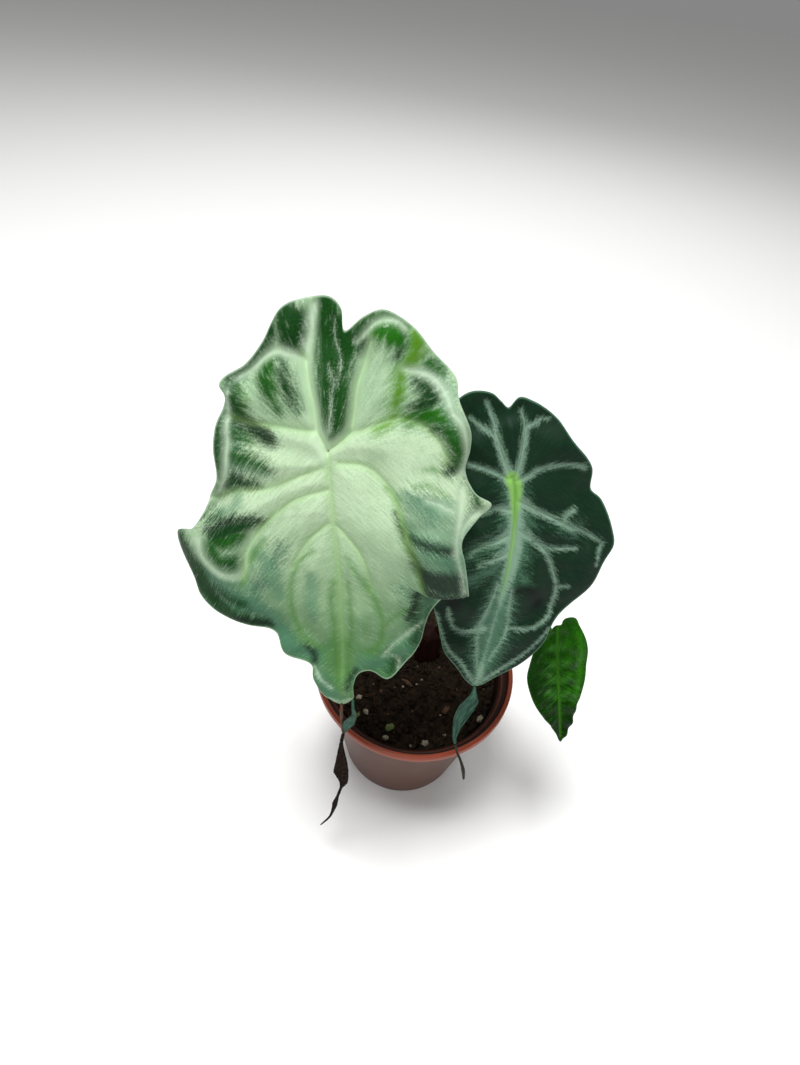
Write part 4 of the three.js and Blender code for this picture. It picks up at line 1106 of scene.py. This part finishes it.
SMALL_BLADE = Blade(
    name="small_leaf_veined_blade", slot="bright_leaf", node="small_leaf_blade",
    finish=BRIGHT_FINISH, junction=(35.9, -8.5, 74.8), hangs_towards=(40.3, -24.0, 58.0),
    faces=(0.25, -0.75, 0.6), centre=(0.0, -5.0),
    outline=(
        (-0.3, 8.2), (1.5, 8.3), (3.6, 9.7), (6.5, 9.2), (7.4, 7), (8.9, 3), (9.4, -1), (8.8, -4.5),
        (6.6, -11.2), (5.1, -14.5), (3.7, -19), (0.7, -24), (-0.6, -21.8), (-2.6, -18.8),
        (-5.3, -15.2), (-7.5, -11), (-8.4, -6.5), (-7.7, -0.8), (-6.4, 2.2), (-3.5, 5.5),
    ),
    bow_across=0.012, bow_along=0.004, bow_middle=0.0, puff=0.5, puff_radius=1.8,
    bumps=(
        (5, 8, 3, -1), (8, -3, 3, -1), (-8, -5, 3, -1),
    ),
    ribs=(
        ((0, 0), (-0.3, -8), (0.5, -23)), ((0, 0), (5, 8)), ((0, 0), (-5, 2)),
    ),
    # soft strokes are painted highlights: a lighter band down the right side and glints on the quilting
    # beside the midrib
    soft=(
        ((6.6, 4.5, 0.5), (7, -1, 0.9), (6.2, -6, 0.8), (4.2, -12, 0.4)),
        ((-2.8, 3.6, 0.3), (-1.7, 2.6, 0.5)), ((2.9, 3.4, 0.3), (1.8, 2.2, 0.5)),
        ((-3.2, -0.6, 0.4), (-1.8, -1.6, 0.6)), ((3.2, -0.8, 0.4), (1.9, -2, 0.6)),
        ((-2.9, -5, 0.4), (-1.7, -6, 0.6)), ((2.8, -5.4, 0.4), (1.7, -6.4, 0.5)),
        ((-2.4, -9.4, 0.3), (-1.5, -10.2, 0.4)), ((2.3, -9.8, 0.3), (1.5, -10.6, 0.4)),
    ),
    cores=(
        ((0.3, 7.5, 0.3), (0, 3, 0.35), (-0.2, -5, 0.35), (0.1, -14, 0.3), (0.6, -22.5, 0.2)),
    ),
    nerve_slope=0.55, nerve_curve=0.02, quilt=0.45, groove_depth=0.35, thickness=0.36, around=240,
    rings=56,
)


# Stems, tails and the crown


# How far the fibres' noise moves for each millimetre along a stem, so that fibres are long
FIBRE_STRETCH = 0.12


@dataclass(frozen=True)
class StemFinish:
    """Living stem skin, grown: a waxy sheen over fine lengthwise fibres and darker flecks."""

    name: str
    dark: str
    light: str
    roughness: float = 0.45
    fibre: float = 2.2

    def material(self) -> bpy.types.Material:
        """Builds the material, whose fibres follow the stem's own length."""
        paint = Paint(self.name)
        return paint.mottle(
            paint.stored("stem_place"), noise_values=(self.fibre, 4.0, 0.6), contrast=(0.35, 0.68),
            tones=(self.dark, self.light), bump=(0.5, 0.1),
            Roughness=self.roughness, IOR=1.45, Specular_IOR_Level=0.08,
        )


@dataclass
class Strand:
    """A thin part swept through stations of x, y, z, half width and half thickness."""

    name: str
    slot: str
    node: str
    stations: Stations
    finish: StemFinish
    faces: Triple = (0.0, -1.0, 0.0)
    channel: float = 0.0
    twist: float = 0.0
    wrinkle: float = 0.0
    bluntness: int = 30
    steps: int = 90
    sides: int = 24
    curve_steps: int = 400

    def build(self) -> bpy.types.Object:
        """Rolls a grid into the strand, closes its ends and dresses it."""
        piece = self.shape()
        dress(piece, self.finish.material())
        register(piece, self.slot, [self.node])
        return piece

    def shape(self) -> bpy.types.Object:
        """Rolls a grid round a curve through the stations.

        Returns:
            The strand's mesh, not yet dressed.
        """
        piece, turn, along = rolled_grid(self.name, self.sides, self.steps)
        points = np.array(self.stations, float)
        spots = np.linspace(0, 1, self.curve_steps + 1)
        curve = catmull_rom(points[:, :3], spots, closed=False)
        tangent = np.gradient(curve, axis=0)
        tangent /= np.linalg.norm(tangent, axis=1)[:, None]
        wide = np.cross(np.array(self.faces), tangent)
        wide /= np.linalg.norm(wide, axis=1)[:, None]
        middle, side, front = (
            np.column_stack([np.interp(along, spots, table[:, k]) for k in range(3)])
            for table in (curve, wide, np.cross(tangent, wide))
        )
        knots = np.linspace(0, 1, len(points))
        half_width, half_thickness = (np.interp(along, knots, points[:, k]) for k in (3, 4))

        closing = np.sqrt(np.clip(1 - (2 * along - 1) ** self.bluntness, 0, 1))
        angle = 2 * math.pi * turn
        spin = self.twist * (along - 0.5)
        flat = np.cos(angle) * half_width * closing
        deep = np.sin(angle) * half_thickness * closing
        deep = deep + self.channel * (np.cos(angle) ** 2 - 0.5) * half_width * closing
        if self.wrinkle:
            folds = np.array([noise.noise(Vector((a * 9, b * 40, 3.0))) for a, b in zip(flat, along)])
            deep = deep + self.wrinkle * folds * closing
        across = flat * np.cos(spin) - deep * np.sin(spin)
        out = flat * np.sin(spin) + deep * np.cos(spin)
        set_points(piece, (middle + side * across[:, None] + front * out[:, None]) * MM)

        length = np.sum(np.linalg.norm(np.diff(curve, axis=0), axis=1))
        store(piece, "stem_place", (
            np.cos(angle) * half_width, np.sin(angle) * half_width, along * length * FIBRE_STRETCH,
        ))
        close_seams(piece)
        return piece


PETIOLE_FINISH = StemFinish("petiole_skin_red_brown_waxy", "#110604", "#2c120d")
GREEN_PETIOLE_FINISH = StemFinish("petiole_skin_green_waxy", "#3f5220", "#6b7f36")
TEAL_FINISH = StemFinish("leaflet_skin_blue_green_satin", "#1a3329", "#456858", 0.55, 1.4)
RED_STALK_FINISH = StemFinish("leaflet_stalk_red_green_satin", "#33201a", "#6a4a3a", 0.5, 1.4)
DRIED_FINISH = StemFinish("dried_leaf_brown_papery", "#060302", "#2a1a0f", 0.8, 2.0)
THREAD_FINISH = StemFinish("dried_thread_grey_green_papery", "#15140e", "#3b3c2f", 0.7, 2.0)
SHEATH_FINISH = StemFinish("leaf_sheath_dark_red_brown_waxy", "#0f0504", "#2c130d", 0.55, 1.6)


def petiole(name: str, slot: str, blade: Blade, finish: StemFinish, radii: tuple[float, float],
            route: Stations) -> Strand:
    """Leads a petiole from the crown to just behind its blade's junction.

    Args:
        name: the strand's name; its solid is named after the blade's.
        slot: the record's material slot.
        blade: the blade that it carries.
        finish: the stem's skin.
        radii: the radius at the crown and at the blade.
        route: x, y, z points from the crown.

    Returns:
        The petiole as a strand.
    """
    behind = 0.75
    points = [*route, np.array(blade.junction) - blade.axes()[2] * behind]
    stations = []
    for index, point in enumerate(points):
        radius = radii[0] + (radii[1] - radii[0]) * index / (len(points) - 1)
        stations.append([*point, radius, radius])
    node = blade.node.replace("blade", "petiole")
    return Strand(name, slot, node, stations, finish, faces=(1.0, 0.0, 0.0))


STRANDS = (
    petiole("large_leaf_stem", "petiole", LARGE_BLADE, PETIOLE_FINISH, (1.4, 1.1), (
        (1.6, 7.4, 50), (-4, 10.5, 78), (-14, 8, 106), (-21.5, 0, 126.5),
    )),
    petiole("dark_leaf_stem", "petiole", DARK_BLADE, PETIOLE_FINISH, (1.3, 1.0), (
        (4.9, 6.4, 50), (8.5, 9.5, 76), (11.5, 9.5, 102), (12.4, 4.5, 120.5),
    )),
    petiole("small_leaf_stem", "green_petiole", SMALL_BLADE, GREEN_PETIOLE_FINISH, (0.8, 0.6), (
        (4.4, 9.2, 50), (8.5, 12, 62), (18, 12, 78), (27, 7, 83), (32.5, 0.5, 78.5),
    )),
    Strand("large_leaf_tail_stalk", "teal_tail", "large_leaf_tail", (
        (-17.8, -33.1, 81.4, 0.35, 0.3), (-17.7, -33.9, 80.3, 0.4, 0.4),
        (-17.5, -34.1, 75.5, 0.35, 0.35), (-16.9, -34.6, 70, 0.45, 0.4),
    ), RED_STALK_FINISH),
    Strand("large_leaf_tail_leaflet", "teal_tail", "large_leaf_tail", (
        (-15.3, -32.9, 83.9, 0.3, 0.25), (-15.1, -34.1, 82.2, 0.35, 0.3), (-14.7, -34.3, 79, 0.6, 0.3),
        (-15.7, -34.4, 75.4, 1.35, 0.25), (-16.6, -34.5, 72, 0.8, 0.3), (-16.9, -34.6, 70, 0.45, 0.35),
    ), TEAL_FINISH, channel=0.35),
    Strand("large_leaf_dried_blade", "dried_tail", "large_leaf_dried_tail", (
        (-16.9, -34.6, 70.1, 0.5, 0.4), (-17.3, -35, 65.5, 0.4, 0.4), (-17.3, -35.2, 61, 0.9, 0.3),
        (-17.1, -35.7, 55.5, 1.6, 0.3), (-17, -36, 51.3, 2, 0.3), (-16.4, -36.2, 47.5, 1.5, 0.3),
        (-16.2, -36.3, 44.5, 1.1, 0.3), (-16.7, -36.5, 41, 0.4, 0.35), (-17.5, -36.8, 35.5, 0.4, 0.3),
        (-18.2, -37.1, 30, 0.8, 0.3), (-18.7, -37.3, 25.5, 0.5, 0.3), (-19.6, -37.6, 20.5, 0.3, 0.3),
        (-22.4, -38, 13.2, 0.25, 0.25),
    ), DRIED_FINISH, channel=0.3, twist=1.2, wrinkle=0.35, steps=240),
    Strand("dark_leaf_tail_leaflet", "teal_tail", "dark_leaf_tail", (
        (12.8, -23.9, 81, 0.3, 0.25), (12.8, -24.9, 80.2, 0.5, 0.35), (12.8, -25.6, 79.1, 1, 0.3),
        (12.6, -26.2, 77.7, 1.7, 0.3), (11.7, -27, 75.8, 2.1, 0.3), (10.8, -28.2, 72.5, 1.7, 0.3),
        (10.4, -29.4, 68.7, 0.9, 0.3), (10.4, -30.2, 66, 0.5, 0.3), (10.9, -30.9, 63.7, 0.35, 0.3),
    ), TEAL_FINISH, channel=0.35),
    Strand("dark_leaf_tail_thread", "dark_thread", "dark_leaf_thread", (
        (10.9, -30.9, 63.8, 0.33, 0.3), (12, -31.5, 60.3, 0.3, 0.3), (13.4, -32, 57, 0.34, 0.3),
        (14.9, -32.3, 52, 0.5, 0.35), (15.9, -32.5, 46.7, 0.3, 0.3),
    ), THREAD_FINISH),
)


@dataclass
class Turned:
    """A body of revolution: rings of radius and height, extruded one from the last."""

    name: str
    profile: Stations
    segments: int

    def build(self) -> bpy.types.Object:
        """Extrudes a filled circle ring by ring.

        Returns:
            The bare mesh as an object at the origin.
        """
        deselect_all()
        radius, height = self.profile[0]
        bpy.ops.mesh.primitive_circle_add(vertices=self.segments, radius=radius * MM,
                                          fill_type="NGON", location=(0, 0, height * MM))
        piece = bpy.context.object
        piece.name = piece.data.name = self.name
        make_active(piece)
        bpy.ops.object.transform_apply(location=True, rotation=True, scale=True)
        bpy.ops.object.mode_set(mode="EDIT")
        bpy.ops.mesh.select_all(action="SELECT")
        for next_radius, next_height in self.profile[1:]:
            bpy.ops.mesh.extrude_region_move(
                TRANSFORM_OT_translate={"value": (0, 0, (next_height - height) * MM)})
            scale = next_radius / radius
            bpy.ops.transform.resize(value=(scale, scale, 1), center_override=(0, 0, next_height * MM))
            radius, height = next_radius, next_height
        bpy.ops.mesh.select_all(action="SELECT")
        bpy.ops.mesh.normals_make_consistent(inside=False)
        bpy.ops.object.mode_set(mode="OBJECT")
        return piece


@dataclass
class Crown:
    """The short stem in its wrapped leaf bases, between which the petioles come out."""

    at: tuple[float, float] = (3.2, 7.2)
    foot: float = 33.0
    lean: float = 0.03
    fold_depths: tuple[float, float] = (0.05, 0.03)
    ribs: int = 31
    rib_depth: float = 0.012
    narrowed: float = 0.95
    segments: int = 72
    profile: Stations = (
        (3.2, 33), (4.2, 39), (4.25, 43), (4.2, 46), (4.05, 49), (3.9, 52), (3.6, 54.2), (3.3, 56),
        (2.6, 57.1), (1.2, 57.7),
    )

    def build(self) -> bpy.types.Object:
        """Turns the crown, ribs it like wrapped sheaths and dresses it.

        Returns:
            The finished piece.
        """
        piece = Turned("crown_sheaths", self.profile, self.segments).build()
        apply_modifier(piece, "SUBSURF", levels=2, render_levels=2, subdivision_type="SIMPLE")
        points = get_points(piece) / MM
        angle = np.arctan2(points[:, 1], points[:, 0])
        lean = self.lean * (points[:, 2] - self.foot)
        wide, sharp = self.fold_depths
        folds = wide * np.sin(3 * angle + 4 * lean) + sharp * np.abs(np.sin(2.5 * angle - 6 * lean))
        ribs = self.rib_depth * np.sin(self.ribs * angle)
        points[:, :2] *= (self.narrowed + folds + ribs)[:, None]
        points[:, :2] += self.at
        set_points(piece, points * MM)
        store(piece, "stem_place", (
            4 * np.cos(angle), 4 * np.sin(angle), FIBRE_STRETCH * points[:, 2],
        ))
        dress(piece, SHEATH_FINISH.material())
        register(piece, "crown", ["crown"])
        return piece


# Pot and soil


@dataclass(frozen=True)
class PotPlastic:
    """Polypropylene, injection moulded: an even colour with a soft sheen and a faint pebble.

    Each pair of lengths says where a change of colour begins and where it is full.
    """

    # the lip's tone and the darker wall's tone are lit and shaded copies of one plastic: the wall's darker
    # tone is painted shade
    lip: str = "#8c3c24"
    wall: str = "#4b2411"
    scuffed: str = "#5e4030"
    # the dark tone of the painted shade inside the pot
    painted_shade_inside: str = "#2a1710"
    roughness: float = 0.4
    lip_starts: tuple[float, float] = (45.5, 47.5)
    taper: float = 0.156
    bore: tuple[float, float] = (19.75, 19.4)
    lip_bore: tuple[float, float] = (28.7, 28.55)
    wall_ends: tuple[float, float] = (47.3, 47.5)
    clear_of_rim: tuple[float, float] = (49.85, 49.3)

    def material(self) -> bpy.types.Material:
        """Builds the plastic: darker on the wall than on the lip as painted shade, with painted shade inside
        the pot and on the lip's inner face.

        Returns:
            The finished material.
        """
        paint = Paint("polypropylene_moulded_terracotta")
        add = paint.add
        place = add("TexCoord", out="Object")
        spot = paint.parts(place)

        # scuffs and dried water of about 8 mm
        scuff = add("TexNoise", {"Vector": place, "Scale": 120.0, "Detail": 5.0, "Roughness": 0.6})
        dull = add("MapRange", {"Value": scuff, "From Min": 0.5, "From Max": 0.75, "To Max": 0.3})

        # the distance from the axis, and the same less the wall's taper
        flat = add("CombineXYZ", {0: spot["X"], 1: spot["Y"]})
        radius = add("VectorMath", {0: flat}, out="Value", operation="LENGTH")
        bare = add("Math", {0: spot["Z"], 1: -self.taper, 2: radius}, operation="MULTIPLY_ADD")
        lift, inside, within, over, below = (
            add("MapRange", {"Value": value, "From Min": starts * MM, "From Max": full * MM})
            for value, (starts, full) in (
                (spot["Z"], self.lip_starts), (bare, self.bore), (radius, self.lip_bore),
                (spot["Z"], self.wall_ends), (spot["Z"], self.clear_of_rim),
            )
        )
        # painted shade inside the pot: the bore and the lip's inner face darken, the rim's top does not
        lining = add("Math", {0: within, 1: over}, operation="MULTIPLY")
        painted_shade_inside_share = add("Math", {0: inside, 1: lining}, operation="MAXIMUM")
        painted_shade_inside_share = add("Math", {0: painted_shade_inside_share, 1: below}, operation="MULTIPLY")
        # the wall keeps its darker tone as painted shade, and only the lip gets the lighter one
        colour = paint.cover(self.wall, (lift, self.lip), (dull, self.scuffed), (painted_shade_inside_share, self.painted_shade_inside))

        # moulded pebble of about 0.3 mm
        pebble = add("TexNoise", {"Vector": place, "Scale": 3200.0, "Detail": 2.0})
        return paint.surface(pebble, (0.15, 0.05), Base_Color=colour, Roughness=self.roughness,
                             IOR=1.49, Specular_IOR_Level=0.22)


@dataclass
class Pot:
    """The tapered nursery pot with its thin rolled lip and six drainage holes."""

    height: float = 50.0
    wall: float = 1.0
    base_radius: float = 20.0
    base_thickness: float = 1.4
    wall_top_radius: float = 27.2
    lip_radius: float = 30.0
    lip_width: float = 1.3
    lip_depth: float = 2.3
    drain_holes: int = 6
    drain_radius: float = 2.2
    drain_circle: float = 14.0
    segments: int = 144
    crease: float = 40.0

    def build(self) -> bpy.types.Object:
        """Turns the pot's wall in one run from its outside over the lip to its inside.

        Returns:
            The finished pot.
        """
        under = self.height - self.lip_depth
        inner_lip = self.lip_radius - self.lip_width
        # the small steps round the edges of the foot and the lip
        profile = (
            (self.base_radius - 0.6, 0.0), (self.base_radius - 0.2, 0.12), (self.base_radius, 0.6),
            (self.wall_top_radius - 0.15, under - 1.0), (self.wall_top_radius, under),
            (self.lip_radius - 0.5, under - 0.2), (self.lip_radius - 0.15, under - 0.1),
            (self.lip_radius, under + 0.3), (self.lip_radius, self.height - 0.5),
            (self.lip_radius - 0.15, self.height - 0.13), (self.lip_radius - 0.5, self.height),
            (inner_lip + 0.4, self.height), (inner_lip + 0.1, self.height - 0.1),
            (inner_lip, self.height - 0.4), (inner_lip - 0.3, under + 0.6),
            (self.wall_top_radius - self.wall, under - 1.0),
            (self.base_radius - self.wall, self.base_thickness),
        )
        piece = Turned("nursery_pot", profile, self.segments).build()
        self.drill(piece)
        dress(piece, PotPlastic().material())
        register(piece, "pot_plastic", ["pot"], self.crease)
        return piece

    def drill(self, piece: bpy.types.Object) -> None:
        """Cuts the drainage holes through the pot's bottom."""
        drills = []
        for index in range(self.drain_holes):
            angle = 2 * math.pi * index / self.drain_holes
            spot = (self.drain_circle * math.cos(angle) * MM, self.drain_circle * math.sin(angle) * MM, 0)
            deselect_all()
            bpy.ops.mesh.primitive_cylinder_add(vertices=32, radius=self.drain_radius * MM,
                                                depth=4 * self.base_thickness * MM, location=spot)
            drills.append(bpy.context.object)
        cutter = join(drills, "drill")
        apply_modifier(piece, "BOOLEAN", operation="DIFFERENCE", object=cutter, solver="EXACT")
        bpy.data.objects.remove(cutter, do_unlink=True)


@dataclass(frozen=True)
class GrainFinish:
    """A rough matt grain of soil, mineral or bark, broken or ground, with no shine at all."""

    name: str
    dark: str
    light: str
    patch_size: float

    def material(self) -> bpy.types.Material:
        """Builds the grain's material, mottled in patches of the given millimetres."""
        paint = Paint(self.name)
        return paint.mottle(
            paint.add("TexCoord", out="Object"), noise_values=(1 / (self.patch_size * MM), 6.0, 0.65),
            contrast=(0.35, 0.7), tones=(self.dark, self.light), bump=(0.8, 0.3),
            Roughness=0.95, Specular_IOR_Level=0.2,
        )


class Grain(Enum):
    """The kinds of loose matter on the soil."""

    PEAT = GrainFinish("peat_crumbs_damp_matt", "#090603", "#352718", 1.6)
    PERLITE = GrainFinish("perlite_expanded_matt", "#6a6254", "#b9b19d", 0.8)
    BARK = GrainFinish("bark_chip_broken_matt", "#2f1e16", "#6e5040", 1.2)
    MOSS = GrainFinish("moss_bit_dried_matt", "#3f4a20", "#8a9a62", 0.8)
    FIBRE = GrainFinish("coir_fibre_dry_matt", "#20140b", "#5a4129", 2.0)


@dataclass
class Soil:
    """The potting mix: a bed with small clods, loose crumbs, fibres, perlite, bark and moss."""

    level: float = 44.0
    roughness: float = 0.7
    mound: float = 1.6
    mound_spread: float = 90.0
    crown_at: tuple[float, float] = (3.2, 7.2)
    clear_of_crown: float = 4.6
    top_radius: float = 25.4
    bottom_radius: float = 18.7
    bottom: float = 1.7
    ring_step: float = 0.45
    rings: int = 55
    segments: int = 180
    crumb_height: float = 1.1
    grain_lumps: float = 0.9
    grain_shake: float = 0.35
    crumbs: int = 620
    fibres: int = 60
    fibre_radius: float = 0.09
    specks: int = 16
    seed: int = 11

    def rise(self, x: float, y: float) -> float:
        """Returns how far the soil stands over its level, in clods and a mound at the crown."""
        clods = (math.sin(0.9 * x + 1.3) * math.cos(0.8 * y - 0.4) + 0.6 * math.sin(0.7 * x - 0.9 * y)
                 + 0.4 * math.sin(1.5 * x + 0.8 * y))
        away = (x - self.crown_at[0]) ** 2 + (y - self.crown_at[1]) ** 2
        return self.roughness * clods + self.mound * math.exp(-away / self.mound_spread)

    def build(self) -> None:
        """Makes the bed and all that lies on it."""
        self.bed()
        self.solid_grains()
        draw = random.Random(self.seed)
        self.scatter(draw, "soil_crumbs", "soil", Grain.PEAT, self.crumbs, (0.35, 1.25), 0.5)
        self.scatter(draw, "soil_perlite_specks", "perlite", Grain.PERLITE, self.specks, (0.22, 0.6), 0.7)
        self.scatter(draw, "soil_bark_specks", "bark", Grain.BARK, self.specks, (0.3, 0.9), 0.6)
        self.scatter_fibres(draw)

    def bed(self) -> None:
        """Turns the bed, then raises its top in clods and crumbs."""
        rings = [(self.top_radius - self.ring_step * (k + 1), self.level) for k in range(self.rings)]
        profile = ((self.bottom_radius, self.bottom), (self.top_radius, self.level - 0.6), *rings)
        piece = Turned("soil_bed", profile, self.segments).build()
        points = get_points(piece) / MM
        for point in points:
            if point[2] > self.level - 0.1:
                x, y = point[0], point[1]
                crumb = noise.turbulence(Vector((x * 0.9, y * 0.9, 1.0)), 4, True)
                point[2] = self.level + self.rise(x, y) + self.crumb_height * (crumb - 0.5)
        set_points(piece, points * MM)
        dress(piece, Grain.PEAT.value.material())
        register(piece, "soil", ["soil"])

    def solid_grains(self) -> None:
        """Gives each grain that has a solid of its own a finer, rougher copy of it."""
        kinds = {"perlite": Grain.PERLITE, "bark": Grain.BARK, "moss": Grain.MOSS}
        materials = {key: kind.value.material() for key, kind in kinds.items()}
        for name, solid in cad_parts.items():
            key = name.split("_")[0]
            if key not in kinds:
                continue
            piece = solid.copy()
            piece.data = solid.data.copy()
            bpy.context.collection.objects.link(piece)
            piece.parent = None
            piece.name = piece.data.name = name + "_rough"
            close_seams(piece)
            apply_modifier(piece, "SUBSURF", levels=2, render_levels=2)
            points = get_points(piece)
            middle = points.mean(axis=0)
            for point in points:
                shake = noise.turbulence(Vector(point / (self.grain_lumps * MM)), 3, True) - 0.5
                point += (point - middle) * self.grain_shake * shake
            set_points(piece, points)
            dress(piece, materials[key])
            register(piece, key, [name])

    def spot(self, draw: random.Random) -> tuple[float, float]:
        """Draws a place on the soil, clear of the crown."""
        while True:
            radius = (self.top_radius - 0.9) * math.sqrt(draw.random())
            angle = draw.uniform(0, 2 * math.pi)
            x, y = radius * math.cos(angle), radius * math.sin(angle)
            if math.hypot(x - self.crown_at[0], y - self.crown_at[1]) > self.clear_of_crown:
                return x, y

    def scatter(self, draw: random.Random, name: str, slot: str, kind: Grain, count: int,
                sizes: tuple[float, float], flatness: float) -> None:
        """Copies one rough crumb over the soil and joins the copies.

        Args:
            draw: the source of random numbers.
            name: the joined piece's name.
            slot: the record's material slot.
            kind: what the crumbs are.
            count: how many there are.
            sizes: the least and greatest radius.
            flatness: the height's share of the width.
        """
        deselect_all()
        bpy.ops.mesh.primitive_uv_sphere_add(segments=7, ring_count=5, radius=1)
        model = bpy.context.object
        points = get_points(model)
        for point in points:
            point *= 0.8 + 0.5 * noise.noise(Vector(point * 1.3))
        set_points(model, points)
        copies = []
        for _ in range(count):
            x, y = self.spot(draw)
            size = draw.uniform(*sizes)
            turn = Matrix.Rotation(draw.uniform(0, 6.28), 4, "Z")
            turn @= Matrix.Rotation(draw.uniform(-0.7, 0.7), 4, "X")
            scale = Matrix.Diagonal((size, size * draw.uniform(0.55, 1), size * flatness, 1))
            place = Matrix.Translation((x, y, self.level + self.rise(x, y) + 0.25 * size))
            crumb = model.copy()
            crumb.data = model.data.copy()
            crumb.data.transform(Matrix.Scale(MM, 4) @ place @ turn @ scale)
            bpy.context.collection.objects.link(crumb)
            copies.append(crumb)
        bpy.data.objects.remove(model, do_unlink=True)
        piece = join(copies, name)
        dress(piece, kind.value.material())
        register(piece, slot)

    def scatter_fibres(self, draw: random.Random) -> None:
        """Lays short bent root and coir fibres over the crumbs."""
        made = []
        for index in range(self.fibres):
            x, y = self.spot(draw)
            angle = draw.uniform(0, 2 * math.pi)
            length = draw.uniform(2.0, 6.5)
            bend = draw.uniform(-0.9, 0.9)
            stations = []
            for step in range(4):
                angle_here = angle + bend * step / 3
                reach = length * (step / 3 - 0.5)
                px, py = x + reach * math.cos(angle_here), y + reach * math.sin(angle_here)
                if math.hypot(px, py) > self.top_radius - 0.4:
                    break
                lift = self.level + self.rise(px, py) + 0.45 + 0.3 * math.sin(2.1 * step + index)
                stations.append((px, py, lift, self.fibre_radius, self.fibre_radius))
            if len(stations) > 2:
                strand = Strand(f"fibre_{index}", "soil", "", stations, DRIED_FINISH,
                                faces=(0.0, 0.0, 1.0), steps=8, sides=5)
                made.append(strand.shape())
        piece = join(made, "soil_fibres")
        dress(piece, Grain.FIBRE.value.material())
        register(piece, "bark")


# Studio


@dataclass
class Studio:
    """A pale floor, soft lights and the photograph's camera.

    The camera's eye is in millimetres. A lamp has a place and a size in metres and a power.
    """

    eye: Triple = (-9.5, -99.2, 207.9)
    looks_down: float = 46.0
    roll: float = 7.2
    focal_pixels: float = 601.0
    sensor: float = 36.0
    floor: str = "#fbfbfa"
    sky: float = 0.24
    lamps_aim: Triple = (0.0, -0.01, 0.08)
    lamps: Sequence[tuple[str, Triple, float, float]] = (
        ("key", (-0.16, 0.0, 1.0), 0.32, 9.5),
        ("fill", (-0.3, -0.75, 0.45), 0.8, 1.3),
        ("back", (0.1, 0.6, 0.6), 0.6, 1.2),
        ("side", (0.45, -0.43, 0.2), 0.12, 0.5),
    )

    def build(self) -> None:
        """Sets up everything that isn't part of the plant."""
        self.add_floor()
        self.add_lights()
        self.add_camera()

    def add_floor(self) -> None:
        """Lays a large matt card under the pot."""
        deselect_all()
        bpy.ops.mesh.primitive_plane_add(size=6, location=(0, 0, 0))
        card = bpy.context.object
        card.name = "floor"
        dress(card, Paint("paper_card_matt_white").surface(
            Base_Color=self.floor, Roughness=0.9, Specular_IOR_Level=0.1))

    def add_lights(self) -> None:
        """Hangs four soft lamps and a pale sky."""
        for name, place, size, power in self.lamps:
            lamp = bpy.data.lights.new(name, "AREA")
            lamp.size = size
            lamp.energy = power
            holder = bpy.data.objects.new(name, lamp)
            holder.location = place
            aim = Vector(self.lamps_aim) - Vector(place)
            holder.rotation_euler = aim.to_track_quat("-Z", "Y").to_euler()
            bpy.context.collection.objects.link(holder)
        world = bpy.data.worlds.new("pale_sky")
        world.use_nodes = True
        sky = world.node_tree.nodes["Background"].inputs
        sky["Color"].default_value = (1, 1, 1, 1)
        sky["Strength"].default_value = self.sky
        bpy.context.scene.world = world
        bpy.context.scene.view_settings.view_transform = "Standard"

    def add_camera(self) -> None:
        """Places the camera where the photograph was taken from."""
        down, roll = math.radians(self.looks_down), math.radians(self.roll)
        level = Vector((1, 0, 0))
        raised = Vector((0, math.sin(down), math.cos(down)))
        ahead = Vector((0, math.cos(down), -math.sin(down)))
        right = math.cos(roll) * level + math.sin(roll) * raised
        up = -math.sin(roll) * level + math.cos(roll) * raised
        camera = bpy.data.cameras.new("photo_camera")
        camera.sensor_width = self.sensor
        camera.lens = self.focal_pixels / PHOTO_LONG_SIDE * self.sensor
        camera.clip_start = 0.01
        holder = bpy.data.objects.new("photo_camera", camera)
        turn = Matrix((right, up, -ahead)).transposed().to_4x4()
        holder.matrix_world = Matrix.Translation(Vector(self.eye) * MM) @ turn
        bpy.context.collection.objects.link(holder)
        bpy.context.scene.camera = holder


def main() -> None:
    """Builds the pot, the soil, the plant and the studio in that order."""
    logging.basicConfig(level=logging.INFO, format="%(message)s")
    Pot().build()
    Soil().build()
    Crown().build()
    for strand in STRANDS:
        strand.build()
    for blade in (LARGE_BLADE, DARK_BLADE, SMALL_BLADE):
        blade.build()
    Studio().build()


if __name__ == "__main__":
    main()
